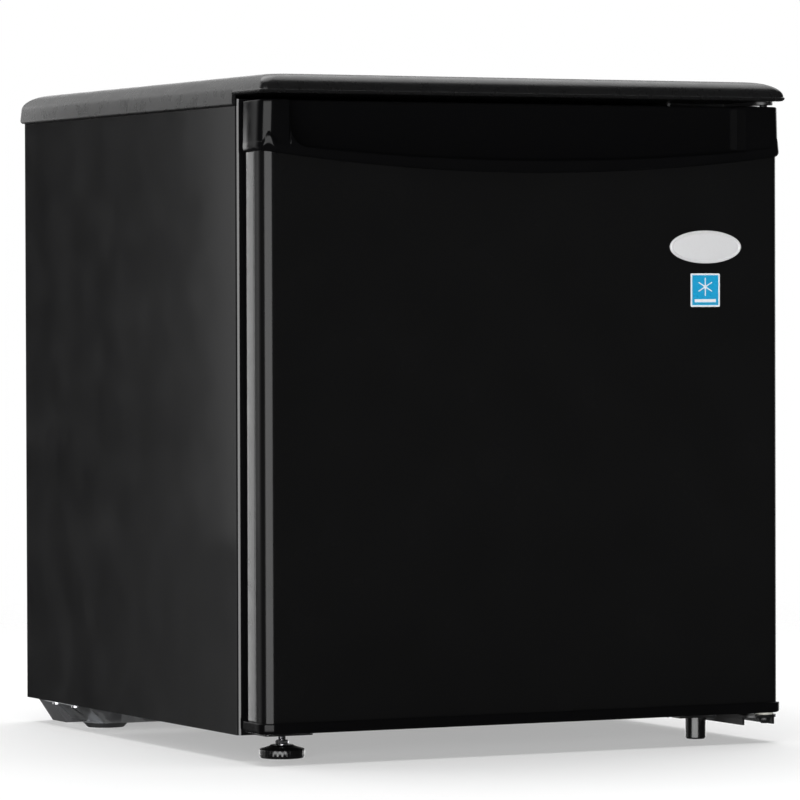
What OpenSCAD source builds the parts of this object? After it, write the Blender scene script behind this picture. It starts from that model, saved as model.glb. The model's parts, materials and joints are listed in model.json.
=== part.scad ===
// Compact refrigerator: a steel cabinet on four feet with a moulded worktop and one door.
// Millimetres. +X is to the right of a person facing the door, the door faces -Y, +Z is up.
// The origin is on the floor, under the middle of the whole object.

/* [Cabinet] */
// Width of the steel cabinet and of the door
cabinet_w = 445; // [430:1:480]
// Depth of the steel cabinet, without gasket and door
cabinet_d = 422; // [410:1:450]
// Height of the cabinet's bottom edge above the floor
floor_gap = 20; // [19:0.5:22]
// Height of the cabinet's steel top above the floor
cabinet_top = 499; // [490:1:520]
// Thickness of the steel sheets
steel_t = 0.8; // [0.6:0.1:1]
// Thickness of the foam in the side walls
wall_foam = 34; // [30:1:36]

/* [Worktop] */
// Height of the worktop's top face above the steel top
worktop_rise = 18; // [16:1:24]
// How far the worktop stands out past the cabinet's sides
worktop_side = 3.5; // [2.5:0.5:6]
// How far the worktop stands out past the door and past the back
worktop_over = 5.5; // [4:0.5:8]
// Radius of the worktop's lower corners, seen from above
worktop_r = 5; // [3:1:12]

/* [Door] */
// Thickness of the door without its gasket
door_t = 33.5; // [32:0.5:36]
// Space between the door and the cabinet, which the gasket fills
gasket_gap = 14.5; // [14:0.5:16]
// Height of the door's lower edge above the floor
door_z0 = 23.8; // [23.6:0.1:24.5]
// Height of the door's upper edge above the floor
door_z1 = 497.5; // [488:0.5:498]
// Radius of the door's upright front edges
door_r = 9.5; // [8:0.5:10]
// Height of the trim along the door's lower edge
trim_h = 8.2; // [7:0.2:10]
// How far the cap and the trim stand out past the door's sides
trim_out = 2.5; // [1:0.5:2.5]

/* [Handle] */
// Lowest point of the handle lip, at the middle of the door
lip_low = 444.3; // [436:0.5:446]
// Height of the handle lip at the middle of the door
lip_h = 9.4; // [8:0.2:12]
// How far the handle lip stands out from the door's front
lip_out = 3.5; // [2:0.5:3.5]
// Depth of the recess above the lip
recess_d = 11; // [9:0.5:14]

/* [Hinge] */
// Diameter of the two hinge pins
pin_d = 6; // [5:0.5:6]
// Radial clearance of a pin in its bushing
pin_play = 0.05; // [0.03:0.01:0.08]

/* [Feet] */
// Diameter of the levelling foot's pad
pad_d = 35; // [30:1:36]
// Diameter of the levelling foot's threaded stem
stem_d = 6; // [5:0.5:8]
// Diameter of the plain leg on the hinge side
leg_d = 16.5; // [14:0.5:18]

/* [Inside] */
// Height of the compartment's floor
inner_z0 = 60; // [56:1:64]
// Height of the compartment's ceiling
inner_z1 = 457; // [450:1:460]
// Depth of the compartment
inner_d = 375; // [365:1:378]
// Height of the full shelf's supports
full_shelf_z = 318; // [300:2:330]
// Height of the half shelf's supports
half_shelf_z = 210; // [209:1:220]
// Number of long wires in a shelf
shelf_wires = 23; // [15:2:27]

/* [Hidden] */
$fn = 48;
tiny = 0.1;

// The whole object
half_w = cabinet_w / 2;
total_d = worktop_over + door_t + gasket_gap + cabinet_d + worktop_over;
door_front = -total_d / 2 + worktop_over;
door_back = door_front + door_t;
cab_front = door_back + gasket_gap;
cab_back = cab_front + cabinet_d;

// Worktop
worktop_top = cabinet_top + worktop_rise;
worktop_low = cabinet_top + 2.7;
skirt_low = cabinet_top - 5.3;
edge_out = 17;
edge_down = 12;
cover_screw_z = skirt_low + 2.3;
cover_head_r = 1.9;
cover_head_y = total_d / 2 - 1.9;

// Steel sheets and foam
wrap_r = 3;
flange_w = 15;
sheet_gap = 0.1;
inside_half = half_w - steel_t - sheet_gap;
low_flange_w = 12;
screw_r = 1.6;
screw_hole_r = 1.75;
screw_l = 8;
rear_screw_x = 0.9 * inside_half;

// Compartment and the machine bay behind its step
liner_t = 1.6;
liner_half = half_w - steel_t - wall_foam - liner_t;
inner_back = cab_front + inner_d;
inner_r = 14;
bay_front = cab_back - 135;
bay_top = 170;
step_front = bay_front - 35;
step_top = bay_top + 35;
rib_out = 6;
rib_h = 4;
shelf_front = cab_front + 100;
spare_rib_z = [264, 372];
full_shelf_d = 250;
half_shelf_d = 138;

// Cold plate, and the trough under it
plate_y = inner_back - 10;
plate_half = 150;
plate_z = [238, 432];
spacer_x = plate_half - 10;
spacer_z = [plate_z[0] + 10, plate_z[1] - 10];
trough_half = 156;
trough_d = 27;
trough_z = [step_top + 14, step_top + 30];
trough_t = 1.6;

// Thermostat
housing_x = liner_half - 36;
housing_y = cab_front + 175;
housing_z = inner_z1 - 34;
housing_half_l = 48;
housing_half_h = 20;
housing_t = 2;
switch_x = housing_x + 3;
switch_w = 22;
knob_r = 16;
knob_x = housing_x - 0.5;
shaft_r = 3;
shaft_in = 8.4;
sensor_x = housing_x + 14;
sensor_z = housing_z - 8;
sensor_r = 1.2;

// Hinges
pin_x = half_w - door_r;
pin_y = door_front + door_r;
pin_r = pin_d / 2;
plate_t = 2.4;
washer_t = 1.6;
bushing_r = 5;
bushing_l = 14;
lower_arm_top = 22;
lower_pin_z0 = 15;
upper_screw_x = [half_w - 22, half_w - 42, half_w - 62];

// Feet
foot_x = -177;
foot_y = cab_front + 20;
leg_x = 182;
leg_y = cab_front + 16;
pad_h = 10;
hub_r = 4.5;
bracket_z0 = 17.5;

// Door, its cap and handle
arc_fn = 720;
lip_rise = 14.7;
lip_low_r = (half_w * half_w + lip_rise * lip_rise) / (2 * lip_rise);
rim_rise = 12;
rim_r = (half_w * half_w + rim_rise * rim_rise) / (2 * rim_rise);
rim_low = lip_low + lip_h;
recess_x0 = -half_w + 21.5;
recess_x1 = half_w - 32;
recess_r = 16;
pocket_z0 = 431;
cap_core_z0 = 428;
strip_d = 16;
strip_t = 3;

// Gasket, and the liner's flange that carries it
gasket_x = pin_x - 1;
gasket_w = 14;
gasket_z0 = door_z0 + 10;
gasket_z1 = door_z1 - 9.5;
gasket_play = 0.4;
flange_low = [-half_w + 15.1, gasket_z0 + 6];
flange_high = [half_w - 15.1, gasket_z1 - 6];
dyke_x = 168;
dyke_w = 18;
dyke_z0 = 66;
dyke_z1 = 424;
dyke_out = 51.5;
flange_y = door_back - 0.4;

// Door bins: height of the floor, height of the front and depth, then the rail above the floor
bin_half = dyke_x - dyke_w - 1;
bin_t = 2;
upper_bin_r = 10;
lower_bin_r = 7;
upper_bin = [298, 42, 82];
lower_bin = [86, 56, 98];
upper_rail = 66;
lower_rail = 92;
rail_r = 2;
lug = [4, 26, 6];

// Badge and label
badge_x = 155;
badge_z = 388;
badge_w = 63;
badge_h = 25.5;
label_half = 13;
label_z = badge_z - 33.5;

// Compressor, its base plate and tray
comp_x = 40;
comp_y = cab_back - 55;
comp_r = 54;
comp_z0 = 24;
comp_z1 = 138;
base_z = 17;
base_t = 2.5;
stud_x = 74;
stud_y = 30;
tray_t = 1.2;
tray_z = 4;
tray_y0 = cab_back - 100;
tray_y1 = cab_back - 3;
tray_top_half = 212;
tray_low_half = 195;
tray_flange_half = 219;
tray_screw_x = 215;
tray_screw_y = [tray_y0 + 14, tray_y0 + 54];
rear_foot_x = 176;
rear_foot_y = cab_back - 29;
drain_x = comp_x;
drain_y = inner_back - 18;
drain_r = 5;
drain_hole_r = 3.5;
pan_z = comp_z1 + 1;

// Relay cover on the compressor's side
relay_x1 = comp_x - comp_r - 0.5;
relay_x0 = relay_x1 - 34;
relay_z0 = 52;
relay_z1 = 102;
gland_x = relay_x0 + 12;
gland_y = comp_y + 20;

// Tubes: outside radius, and where each one enters the compressor
tube_r = 3;
discharge_r = 2.5;
discharge_at = [comp_x + comp_r - 2, comp_y + 8, 60];
suction_at = [comp_x - 41, comp_y - 42, 80];
process_at = [comp_x + 30, comp_y + 42, 88];
drier_at = [comp_x - 150, comp_y - 10, 64];

// Plain helpers

// A block between two opposite corners
module block(low, high) {
    translate(low) cube(high - low);
}

// A rectangle with round corners, made of true circles
module round_rect(low, high, r) {
    translate([low[0] + r, low[1]]) square([high[0] - low[0] - 2 * r, high[1] - low[1]]);
    translate([low[0], low[1] + r]) square([high[0] - low[0], high[1] - low[1] - 2 * r]);
    for (x = [low[0] + r, high[0] - r], y = [low[1] + r, high[1] - r])
        translate([x, y]) circle(r);
}

// An outline in X and Y, raised from z0 to z1
module upright(z0, z1) {
    translate([0, 0, z0]) linear_extrude(z1 - z0) children();
}

// An outline in X and Z, carried from y0 to y1
module through(y0, y1) {
    translate([0, y1, 0]) rotate([90, 0, 0]) linear_extrude(y1 - y0) children();
}

// An outline in Y and Z, carried from x0 to x1
module across(x0, x1) {
    translate([x0, 0, 0]) rotate([90, 0, 90]) linear_extrude(x1 - x0) children();
}

// A frame in X and Z between an outer and an inner round rectangle
module frame_ring(half, z0, z1, w, r, y0, y1) {
    through(y0, y1) difference() {
        round_rect([-half, z0], [half, z1], r);
        round_rect([-half + w, z0 + w], [half - w, z1 - w], max(r - w, 1));
    }
}

// A pan-head screw with its head up and its shank below
module screw(head_r, length) {
    head_h = 1.8;
    slot_w = 0.8;
    difference() {
        union() {
            cylinder(r = head_r, h = head_h);
            translate([0, 0, -length]) cylinder(r = screw_r, h = length + tiny);
        }
        for (turn = [0, 90])
            rotate([0, 0, turn]) translate([-head_r * 0.6, -slot_w / 2, head_h - slot_w])
                cube([head_r * 1.2, slot_w, 1]);
    }
}

// A tube that runs to and fro: straight rows along X, joined by half turns
module serpentine(rows, pitch, length, r) {
    for (i = [0 : rows - 1])
        translate([0, 0, i * pitch]) rotate([0, 90, 0]) cylinder(r = r, h = length);
    for (i = [0 : rows - 2])
        translate([i % 2 == 0 ? length : 0, 0, (i + 0.5) * pitch])
            rotate([90, i % 2 == 0 ? 90 : -90, 0])
                rotate_extrude(angle = 180) translate([pitch / 2, 0]) circle(r);
}

// A quarter bend in the XY plane about the origin, from +X round to +Y
module bend(turn_r, r) {
    rotate_extrude(angle = 90) translate([turn_r, 0]) circle(r);
}

// Places of the fasteners. Each one puts its children with +Z pointing out of the object.

module at_cover_screws() {
    for (x = [-150, 0, 150])
        translate([x, cover_head_y, cover_screw_z]) rotate([-90, 0, 0]) children();
}

module at_rear_screws() {
    for (x = [-1, 0, 1], z = [bay_top + 12, cabinet_top - 14])
        translate([x * rear_screw_x, cab_back, z]) rotate([-90, 0, 0]) children();
}

module at_underside_screws() {
    for (x = [leg_x - 12, pin_x - 4], y = [34, 48])
        translate([x, cab_front + y, bracket_z0]) rotate([180, 0, 0]) children();
    for (side = [-1, 1], y = tray_screw_y)
        translate([side * tray_screw_x, y, floor_gap - tray_t]) rotate([180, 0, 0]) children();
}

// The hole for one screw, below its head
module screw_hole() {
    translate([0, 0, -screw_l - 1]) cylinder(r = screw_hole_r, h = screw_l + 1);
}

// The cabinet

module cabinet_wrapper() color([0.05, 0.05, 0.05])
    difference() {
        union() {
            upright(floor_gap, cabinet_top) difference() {
                round_rect([-half_w, cab_front], [half_w, cab_back + 20], wrap_r);
                round_rect([-half_w + steel_t, cab_front + steel_t],
                           [half_w - steel_t, cab_back + 21], wrap_r - steel_t);
                translate([-half_w + flange_w, cab_front - 1]) square([cabinet_w - 2 * flange_w, 5]);
                translate([-half_w - 1, cab_back]) square([cabinet_w + 2, 30]);
            }
            block([-half_w + wrap_r, cab_front + wrap_r, cabinet_top - steel_t],
                  [half_w - wrap_r, cab_back, cabinet_top]);
            for (side = [-1, 1])
                block([side < 0 ? -half_w + steel_t : half_w - wrap_r, cab_front + wrap_r,
                       cabinet_top - steel_t],
                      [side < 0 ? -half_w + wrap_r : half_w - steel_t, cab_back, cabinet_top]);
            block([-half_w + flange_w, cab_front, cabinet_top - flange_w],
                  [half_w - flange_w, cab_front + steel_t, cabinet_top]);
            block([-half_w + flange_w, cab_front + steel_t, cabinet_top - steel_t],
                  [half_w - flange_w, cab_front + wrap_r, cabinet_top]);
            for (side = [-1, 1])
                block([side < 0 ? -half_w + steel_t : half_w - low_flange_w, cab_front + wrap_r, floor_gap],
                      [side < 0 ? -half_w + low_flange_w : half_w - steel_t, cab_back, floor_gap + steel_t]);
        }
        at_underside_screws() screw_hole();
    }

module rear_panel() color([0.07, 0.07, 0.07]) {
    bead_r = 2;
    bead_z0 = bay_top + 50;
    bead_z1 = cabinet_top - 60;
    difference() {
        block([-inside_half, cab_back - steel_t, bay_top + steel_t],
              [inside_half, cab_back, cabinet_top - steel_t - sheet_gap]);
        at_rear_screws() screw_hole();
        at_cover_screws() screw_hole();
    }
    for (x = [-120, -40, 40, 120])
        translate([x, cab_back - tiny, bead_z0])
            intersection() {
                cylinder(r = bead_r, h = bead_z1 - bead_z0);
                block([-bead_r, 0, 0], [bead_r, bead_r, bead_z1]);
            }
}

module bottom_panel() color([0.08, 0.08, 0.08]) {
    low = floor_gap + steel_t;
    front = cab_front + steel_t;
    turn_up = 24;
    difference() {
        across(-inside_half, inside_half)
            polygon([[front, low], [bay_front + steel_t, low], [bay_front + steel_t, bay_top],
                     [cab_back, bay_top], [cab_back, bay_top + steel_t], [bay_front, bay_top + steel_t],
                     [bay_front, low + steel_t], [front + steel_t, low + steel_t],
                     [front + steel_t, low + turn_up], [front, low + turn_up]]);
        for (side = [-1, 1])
            block([side < 0 ? -half_w : half_w - wrap_r - 0.2, cab_front, floor_gap],
                  [side < 0 ? -half_w + wrap_r + 0.2 : half_w, cab_front + wrap_r + 0.2, low + turn_up + 1]);
        translate([drain_x, drain_y, bay_top - 1]) cylinder(r = drain_r + 0.2, h = 4);
        translate([foot_x, foot_y, low - 1]) cylinder(r = 7, h = 4);
        at_underside_screws() screw_hole();
    }
}

module insulation_foam() color([0.93, 0.86, 0.6]) {
    outer = inside_half;
    front = cab_front + wrap_r;
    low = floor_gap + 2 * steel_t + sheet_gap;
    over_bay = bay_top + steel_t + sheet_gap;
    back = cab_back - steel_t - sheet_gap;
    top = cabinet_top - steel_t - sheet_gap;
    difference() {
        across(-outer, outer)
            polygon([[front, low], [bay_front - sheet_gap, low], [bay_front - sheet_gap, over_bay],
                     [back, over_bay], [back, top], [front, top]]);
        liner_outside(sheet_gap);
        condenser_path(2.6);
        translate([drain_x, drain_y, bay_top]) cylinder(r = drain_r + 0.2, h = 80);
        translate([foot_x, foot_y, 0]) cylinder(r = 8.2, h = 60);
        at_rear_screws() screw_hole();
        at_cover_screws() screw_hole();
        at_underside_screws() screw_hole();
    }
}

// The outside of the liner, with an allowance added all round
module liner_outside(more) {
    t = liner_t + more;
    difference() {
        through(cab_front - 1, inner_back + t)
            round_rect([-liner_half - t, inner_z0 - t], [liner_half + t, inner_z1 + t], inner_r);
        block([-half_w, step_front + more, 0], [half_w, cab_back, step_top - t]);
    }
}

module inner_liner() color([0.95, 0.96, 0.97]) {
    lip_x = half_w - flange_w - 0.2;
    difference() {
        union() {
            liner_outside(0);
            through(cab_front, cab_front + liner_t)
                round_rect([-lip_x, floor_gap + 25.2], [lip_x, cabinet_top - flange_w - 0.2], 2);
        }
        difference() {
            through(cab_front - 2, inner_back)
                round_rect([-liner_half, inner_z0], [liner_half, inner_z1], inner_r - liner_t);
            block([-half_w, step_front - liner_t, 0], [half_w, cab_back, step_top]);
        }
        block([-half_w, cab_front - 3, 0], [half_w, cab_front, 600]);
        translate([drain_x, drain_y, step_top - 5]) cylinder(r = drain_r + 0.2, h = 10);
    }
    for (side = [-1, 1], z = concat([full_shelf_z, half_shelf_z], spare_rib_z))
        block([side < 0 ? -liner_half - tiny : liner_half - rib_out, shelf_front - 10, z - rib_h],
              [side < 0 ? -liner_half + rib_out : liner_half + tiny,
               z == half_shelf_z ? step_front - 2 : inner_back - 30, z]);
}

// A thin layer of the worktop, drawn in by inset all round
module worktop_layer(inset, z) {
    half = [half_w + worktop_side - inset, total_d / 2 - inset];
    upright(z, z + tiny) round_rect(-half, half, worktop_r + inset / 2);
}

// The worktop's solid outline: a slab whose upper edge is rounded over
module worktop_slab(z_low) {
    steps = 6;
    hull() {
        worktop_layer(0, z_low);
        for (i = [0 : steps]) let (a = i * 90 / steps)
            worktop_layer(edge_out * (1 - cos(a)), worktop_top - edge_down * (1 - sin(a)) - tiny);
    }
}

module top_cover() color([0.09, 0.09, 0.09]) {
    slack = 0.4;
    wall_x = half_w + slack;
    rib_w = 3;
    difference() {
        worktop_slab(skirt_low);
        block([-wall_x, cab_front - slack, 0], [wall_x, cab_back + slack, worktop_low]);
        block([-300, -300, 0], [300, cab_front + tiny, worktop_low]);
        at_cover_screws() {
            screw_hole();
            cylinder(r = cover_head_r + tiny, h = 5);
        }
    }
    for (x = [-180, -60, 60, 140])
        block([x - rib_w / 2, cab_front + 30, cabinet_top],
              [x + rib_w / 2, cab_back - 10, worktop_low + tiny]);
}

module cover_screws() color([0.7, 0.7, 0.72]) at_cover_screws() screw(cover_head_r, screw_l);

module rear_screws() color([0.7, 0.7, 0.72]) at_rear_screws() screw(3.6, screw_l);

// The refrigerant circuit

module condenser_path(r) {
    rows = 7;
    pitch = 40;
    for (side = [-1, 1])
        translate([side * (half_w - steel_t - 2.7), cab_front + 35, 200]) rotate([0, 0, 90])
            serpentine(rows, pitch, cabinet_d - 70, r);
}

module condenser_coil() color([0.72, 0.45, 0.3]) condenser_path(2.4);

module evaporator_plate() color([0.88, 0.89, 0.9]) {
    plate_sheet = 1.6;
    rows = 6;
    row_half = 120;
    margin = 18;
    pitch = (plate_z[1] - plate_z[0] - 2 * margin) / (rows - 1);
    difference() {
        union() {
            through(plate_y, plate_y + plate_sheet)
                round_rect([-plate_half, plate_z[0]], [plate_half, plate_z[1]], 8);
            translate([-row_half, plate_y, plate_z[0] + margin]) serpentine(rows, pitch, 2 * row_half, 3);
        }
        for (x = [-spacer_x, spacer_x], z = spacer_z)
            translate([x, plate_y + 5, z]) rotate([90, 0, 0]) cylinder(r = 2.2, h = 10);
    }
}

module evaporator_spacers() color([0.95, 0.95, 0.96])
    for (x = [-spacer_x, spacer_x], z = spacer_z)
        translate([x, inner_back, z]) rotate([90, 0, 0]) {
            cylinder(r = 5, h = 8.3);
            cylinder(r = 2, h = 11);
            translate([0, 0, 10.1]) cylinder(r = 5, h = 2.5);
        }

module drip_trough() color([0.95, 0.96, 0.97]) {
    front = inner_back - trough_d;
    difference() {
        through(front, inner_back)
            round_rect([-trough_half, trough_z[0]], [trough_half, trough_z[1]], 4);
        through(front + trough_t, inner_back - trough_t)
            round_rect([-trough_half + trough_t, trough_z[0] + trough_t],
                       [trough_half - trough_t, trough_z[1] + 30], 3);
        translate([drain_x, drain_y, step_top]) cylinder(r = drain_hole_r, h = 20);
    }
    translate([drain_x, drain_y, trough_z[0] - 6]) difference() {
        cylinder(r = drain_r - 0.2, h = 6 + tiny);
        translate([0, 0, -1]) cylinder(r = drain_hole_r, h = 9);
    }
}

module drain_tube() color([0.8, 0.8, 0.8])
    translate([drain_x, drain_y, pan_z + 12]) difference() {
        cylinder(r = drain_r, h = step_top - pan_z - 5);
        translate([0, 0, -1]) cylinder(r = drain_hole_r, h = 90);
    }

module evaporation_pan() color([0.85, 0.85, 0.86]) {
    wall = 1.6;
    pan_h = 18;
    pan_r = 14;
    low = [comp_x - 60, comp_y - 48];
    high = [comp_x + 60, comp_y + 48];
    difference() {
        upright(pan_z, pan_z + pan_h) round_rect(low, high, pan_r);
        upright(pan_z + wall, pan_z + 30)
            round_rect(low + [wall, wall], high - [wall, wall], pan_r - wall);
    }
}

// Shelves

module wire_shelf(depth, top_z) {
    frame_r = 2.4;
    wire_r = 1.3;
    brace_r = 1.8;
    turn = 12;
    z = top_z + frame_r + 0.1;
    x_max = liner_half - 3.5 - frame_r;
    y0 = shelf_front + frame_r;
    y1 = shelf_front + depth - frame_r;
    pitch = 2 * (x_max - turn) / (shelf_wires + 1);
    for (y = [y0, y1])
        translate([-x_max + turn, y, z]) rotate([0, 90, 0]) cylinder(r = frame_r, h = 2 * (x_max - turn));
    for (x = [-x_max, x_max])
        translate([x, y0 + turn, z]) rotate([-90, 0, 0]) cylinder(r = frame_r, h = y1 - y0 - 2 * turn);
    for (corner = [[-1, y0 + turn, 180], [1, y0 + turn, 270], [1, y1 - turn, 0], [-1, y1 - turn, 90]])
        translate([corner[0] * (x_max - turn), corner[1], z]) rotate([0, 0, corner[2]]) bend(turn, frame_r);
    for (i = [1 : shelf_wires])
        translate([-x_max + turn + i * pitch, y0, z + frame_r - 0.6]) rotate([-90, 0, 0])
            cylinder(r = wire_r, h = y1 - y0);
    translate([-x_max, (y0 + y1) / 2, z]) rotate([0, 90, 0]) cylinder(r = brace_r, h = 2 * x_max);
}

module full_shelf() color([0.95, 0.95, 0.96]) wire_shelf(full_shelf_d, full_shelf_z);

module half_shelf() color([0.95, 0.95, 0.96]) wire_shelf(half_shelf_d, half_shelf_z);

// The thermostat

module thermostat_housing() color([0.93, 0.94, 0.95]) {
    low = [housing_y - housing_half_l, housing_z - housing_half_h];
    high = [housing_y + housing_half_l, housing_z + housing_half_h];
    wall = [housing_t, housing_t];
    slot = [3, 18];
    difference() {
        across(housing_x, liner_half) round_rect(low, high, 8);
        across(housing_x + housing_t, liner_half + 1) round_rect(low + wall, high - wall, 6);
        translate([housing_x - 1, housing_y, housing_z]) rotate([0, 90, 0]) cylinder(r = 5, h = 10);
        translate([sensor_x, housing_y, sensor_z]) rotate([-90, 0, 0]) cylinder(r = sensor_r + 0.2, h = 60);
        for (y = [-30 : 10 : 30])
            translate([housing_x + 8, housing_y + y - slot[0] / 2, low[1] - 1])
                cube([slot[1], slot[0], housing_t + 2]);
    }
}

module thermostat_switch() color([0.75, 0.76, 0.78])
    difference() {
        across(switch_x, switch_x + switch_w)
            round_rect([housing_y - 20, housing_z - 14], [housing_y + 20, housing_z + 14], 2);
        translate([switch_x - 1, housing_y, housing_z]) rotate([0, 90, 0])
            cylinder(r = shaft_r + pin_play, h = 10);
    }

// The knob's flatted shaft, which turns in the switch
module thermostat_shaft() color([0.75, 0.76, 0.78])
    translate([knob_x - shaft_in, housing_y, housing_z]) difference() {
        rotate([0, 90, 0]) cylinder(r = shaft_r, h = switch_x + 8 - knob_x + shaft_in);
        translate([-1, shaft_r / 2, -5]) cube([shaft_in, 5, 10]);
    }

module thermostat_knob() color([0.9, 0.91, 0.92]) {
    base_h = 4;
    knob_h = 13;
    grip_w = 5;
    translate([knob_x, housing_y, housing_z]) rotate([0, -90, 0]) difference() {
        union() {
            cylinder(r = knob_r, h = base_h);
            translate([0, 0, base_h - tiny]) cylinder(r = knob_r - 3, h = knob_h - base_h);
            block([-grip_w / 2, 0, base_h], [grip_w / 2, knob_r - 1, knob_h + 0.5]);
        }
        difference() {
            translate([0, 0, -1]) cylinder(r = shaft_r + pin_play, h = shaft_in + 1.2);
            translate([-5, shaft_r / 2 + pin_play, 1.2]) cube([10, 5, shaft_in]);
        }
    }
}

module sensor_tube() color([0.75, 0.5, 0.32]) {
    bulb_y = inner_back - 15.8;
    turn = 10;
    start = housing_y + 20.5;
    translate([sensor_x, start, sensor_z]) rotate([-90, 0, 0])
        cylinder(r = sensor_r, h = bulb_y - turn - start);
    translate([sensor_x - turn, bulb_y - turn, sensor_z]) bend(turn, sensor_r);
    translate([sensor_x - turn - 40, bulb_y, sensor_z]) rotate([0, 90, 0]) cylinder(r = 2.6, h = 40);
}

// The machine compartment

module compressor_tray() color([0.72, 0.73, 0.74]) {
    slope = (tray_top_half - tray_low_half) / (floor_gap - tray_z);
    wall_top = 18;
    wall_half = tray_low_half + slope * (wall_top - tray_z);
    pressed_foot_x = 186;
    difference() {
        union() {
            through(tray_y0, tray_y1) difference() {
                polygon([[-tray_low_half, tray_z], [tray_low_half, tray_z],
                         [tray_top_half, floor_gap], [-tray_top_half, floor_gap]]);
                polygon([[-tray_low_half + 0.6, tray_z + tray_t], [tray_low_half - 0.6, tray_z + tray_t],
                         [tray_top_half - 1.2, floor_gap + 1], [-tray_top_half + 1.2, floor_gap + 1]]);
            }
            for (y = [tray_y0, tray_y1 - tray_t])
                through(y, y + tray_t)
                    polygon([[-tray_low_half, tray_z], [tray_low_half, tray_z],
                             [wall_half, wall_top], [-wall_half, wall_top]]);
            for (side = [-1, 1])
                block([side < 0 ? -tray_flange_half : tray_top_half - 2, tray_y0, floor_gap - tray_t],
                      [side < 0 ? -tray_top_half + 2 : tray_flange_half, tray_y1, floor_gap]);
            for (x = [-pressed_foot_x, pressed_foot_x])
                translate([x, tray_y0 + 20, 0]) cylinder(r1 = 15, r2 = 19, h = tray_z + tiny, $fn = 64);
        }
        for (x = [-1, 1], y = [-1, 1])
            translate([comp_x + x * stud_x, comp_y + y * stud_y, 0]) cylinder(r = 3.1, h = 12);
        for (side = [-1, 1])
            block([side < 0 ? -230 : rear_foot_x - 0.2, rear_foot_y - 0.2, 0],
                  [side < 0 ? -rear_foot_x + 0.2 : 230, cab_back + 1, 30]);
        at_underside_screws() screw_hole();
    }
}

module rear_feet() color([0.16, 0.16, 0.17])
    for (side = [-1, 1])
        difference() {
            through(rear_foot_y, cab_back) mirror([side < 0 ? 1 : 0, 0])
                polygon([[rear_foot_x, 0], [200, 0], [tray_top_half + 1, floor_gap - 1],
                         [tray_top_half + 1, floor_gap], [rear_foot_x, floor_gap]]);
            block([side * 188 - 6, rear_foot_y + 5, 4], [side * 188 + 6, cab_back - 5, 30]);
        }

module compressor() color([0.06, 0.06, 0.065]) {
    seam_z = (comp_z0 + comp_z1) / 2 - 6;
    low_r = 14;
    high_r = 26;
    difference() {
        translate([comp_x, comp_y, 0]) rotate_extrude($fn = 96) difference() {
            union() {
                translate([0, comp_z0 + low_r]) square([comp_r, comp_z1 - comp_z0 - low_r - high_r]);
                translate([0, comp_z0]) square([comp_r - low_r, 20]);
                translate([comp_r - low_r, comp_z0 + low_r]) circle(low_r);
                translate([0, comp_z1 - 30]) square([comp_r - high_r, 30]);
                translate([comp_r - high_r, comp_z1 - high_r]) circle(high_r);
                translate([0, seam_z - 2]) square([comp_r + 3, 4]);
            }
            translate([-60, 0]) square([60, 200]);
        }
        translate(discharge_at) rotate([0, 90, 0]) cylinder(r = discharge_r + 0.05, h = 20);
        translate(suction_at - [20, 0, 0]) rotate([0, 90, 0]) cylinder(r = tube_r + 0.05, h = 34.5);
        translate(process_at - [0, 0.5, 0]) rotate([-90, 0, 0]) cylinder(r = tube_r + 0.05, h = 20);
    }
}

module compressor_base() color([0.07, 0.07, 0.075])
    difference() {
        union() {
            upright(base_z, base_z + base_t) difference() {
                round_rect([comp_x - stud_x - 12, comp_y - stud_y - 12],
                           [comp_x + stud_x + 12, comp_y + stud_y + 12], 10);
                for (x = [-1, 1])
                    translate([comp_x + x * (stud_x + 12), comp_y]) circle(20);
            }
            translate([comp_x, comp_y, base_z + base_t - tiny])
                cylinder(r = 30, h = comp_z0 - base_z - base_t + tiny);
        }
        for (x = [-1, 1], y = [-1, 1])
            translate([comp_x + x * stud_x, comp_y + y * stud_y, 0]) cylinder(r = 7, h = 40);
    }

module compressor_grommets() color([0.12, 0.12, 0.12]) {
    foot = base_z - tray_z - tray_t - 0.1;
    for (x = [-1, 1], y = [-1, 1])
        translate([comp_x + x * stud_x, comp_y + y * stud_y, tray_z + tray_t]) difference() {
            union() {
                cylinder(r = 10, h = foot);
                cylinder(r = 6.9, h = foot + 5);
                translate([0, 0, foot + base_t + 0.2]) cylinder(r = 9, h = 3);
            }
            translate([0, 0, -1]) cylinder(r = 3.2, h = 30);
        }
}

module compressor_bolts() color([0.7, 0.7, 0.72]) {
    head_h = 1.9;
    washer_z = base_z + base_t + 3.1 - tray_z + head_h;
    for (x = [-1, 1], y = [-1, 1])
        translate([comp_x + x * stud_x, comp_y + y * stud_y, tray_z - head_h]) {
            cylinder(r = 5, h = head_h);
            cylinder(r = 3, h = washer_z + 6);
            translate([0, 0, washer_z + 0.1]) cylinder(r = 8, h = 1.2);
            translate([0, 0, washer_z + 1.2]) cylinder(r = 5.2, h = 4, $fn = 6);
        }
}

module relay_cover() color([0.1, 0.1, 0.1])
    difference() {
        upright(relay_z0, relay_z1) round_rect([relay_x0, comp_y - 32], [relay_x1 + 10, comp_y + 32], 5);
        translate([comp_x, comp_y, 0]) cylinder(r = comp_r + 3.4, h = 200, $fn = 96);
        translate([gland_x, gland_y, (relay_z0 + relay_z1) / 2]) rotate([-90, 0, 0])
            cylinder(r = 6, h = 20);
        for (z = [relay_z0 + 8 : 6 : relay_z1 - 8])
            block([relay_x0 - 1, comp_y - 20, z], [relay_x0 + 1, comp_y + 20, z + 2.5]);
    }

module cord_gland() color([0.08, 0.08, 0.08])
    translate([gland_x, gland_y + tiny, (relay_z0 + relay_z1) / 2]) rotate([-90, 0, 0]) difference() {
        union() {
            cylinder(r = 5.9, h = 12);
            translate([0, 0, 12]) cylinder(r = 8, h = 3);
        }
        translate([0, 0, -1]) cylinder(r = 3.6, h = 30);
    }

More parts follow.
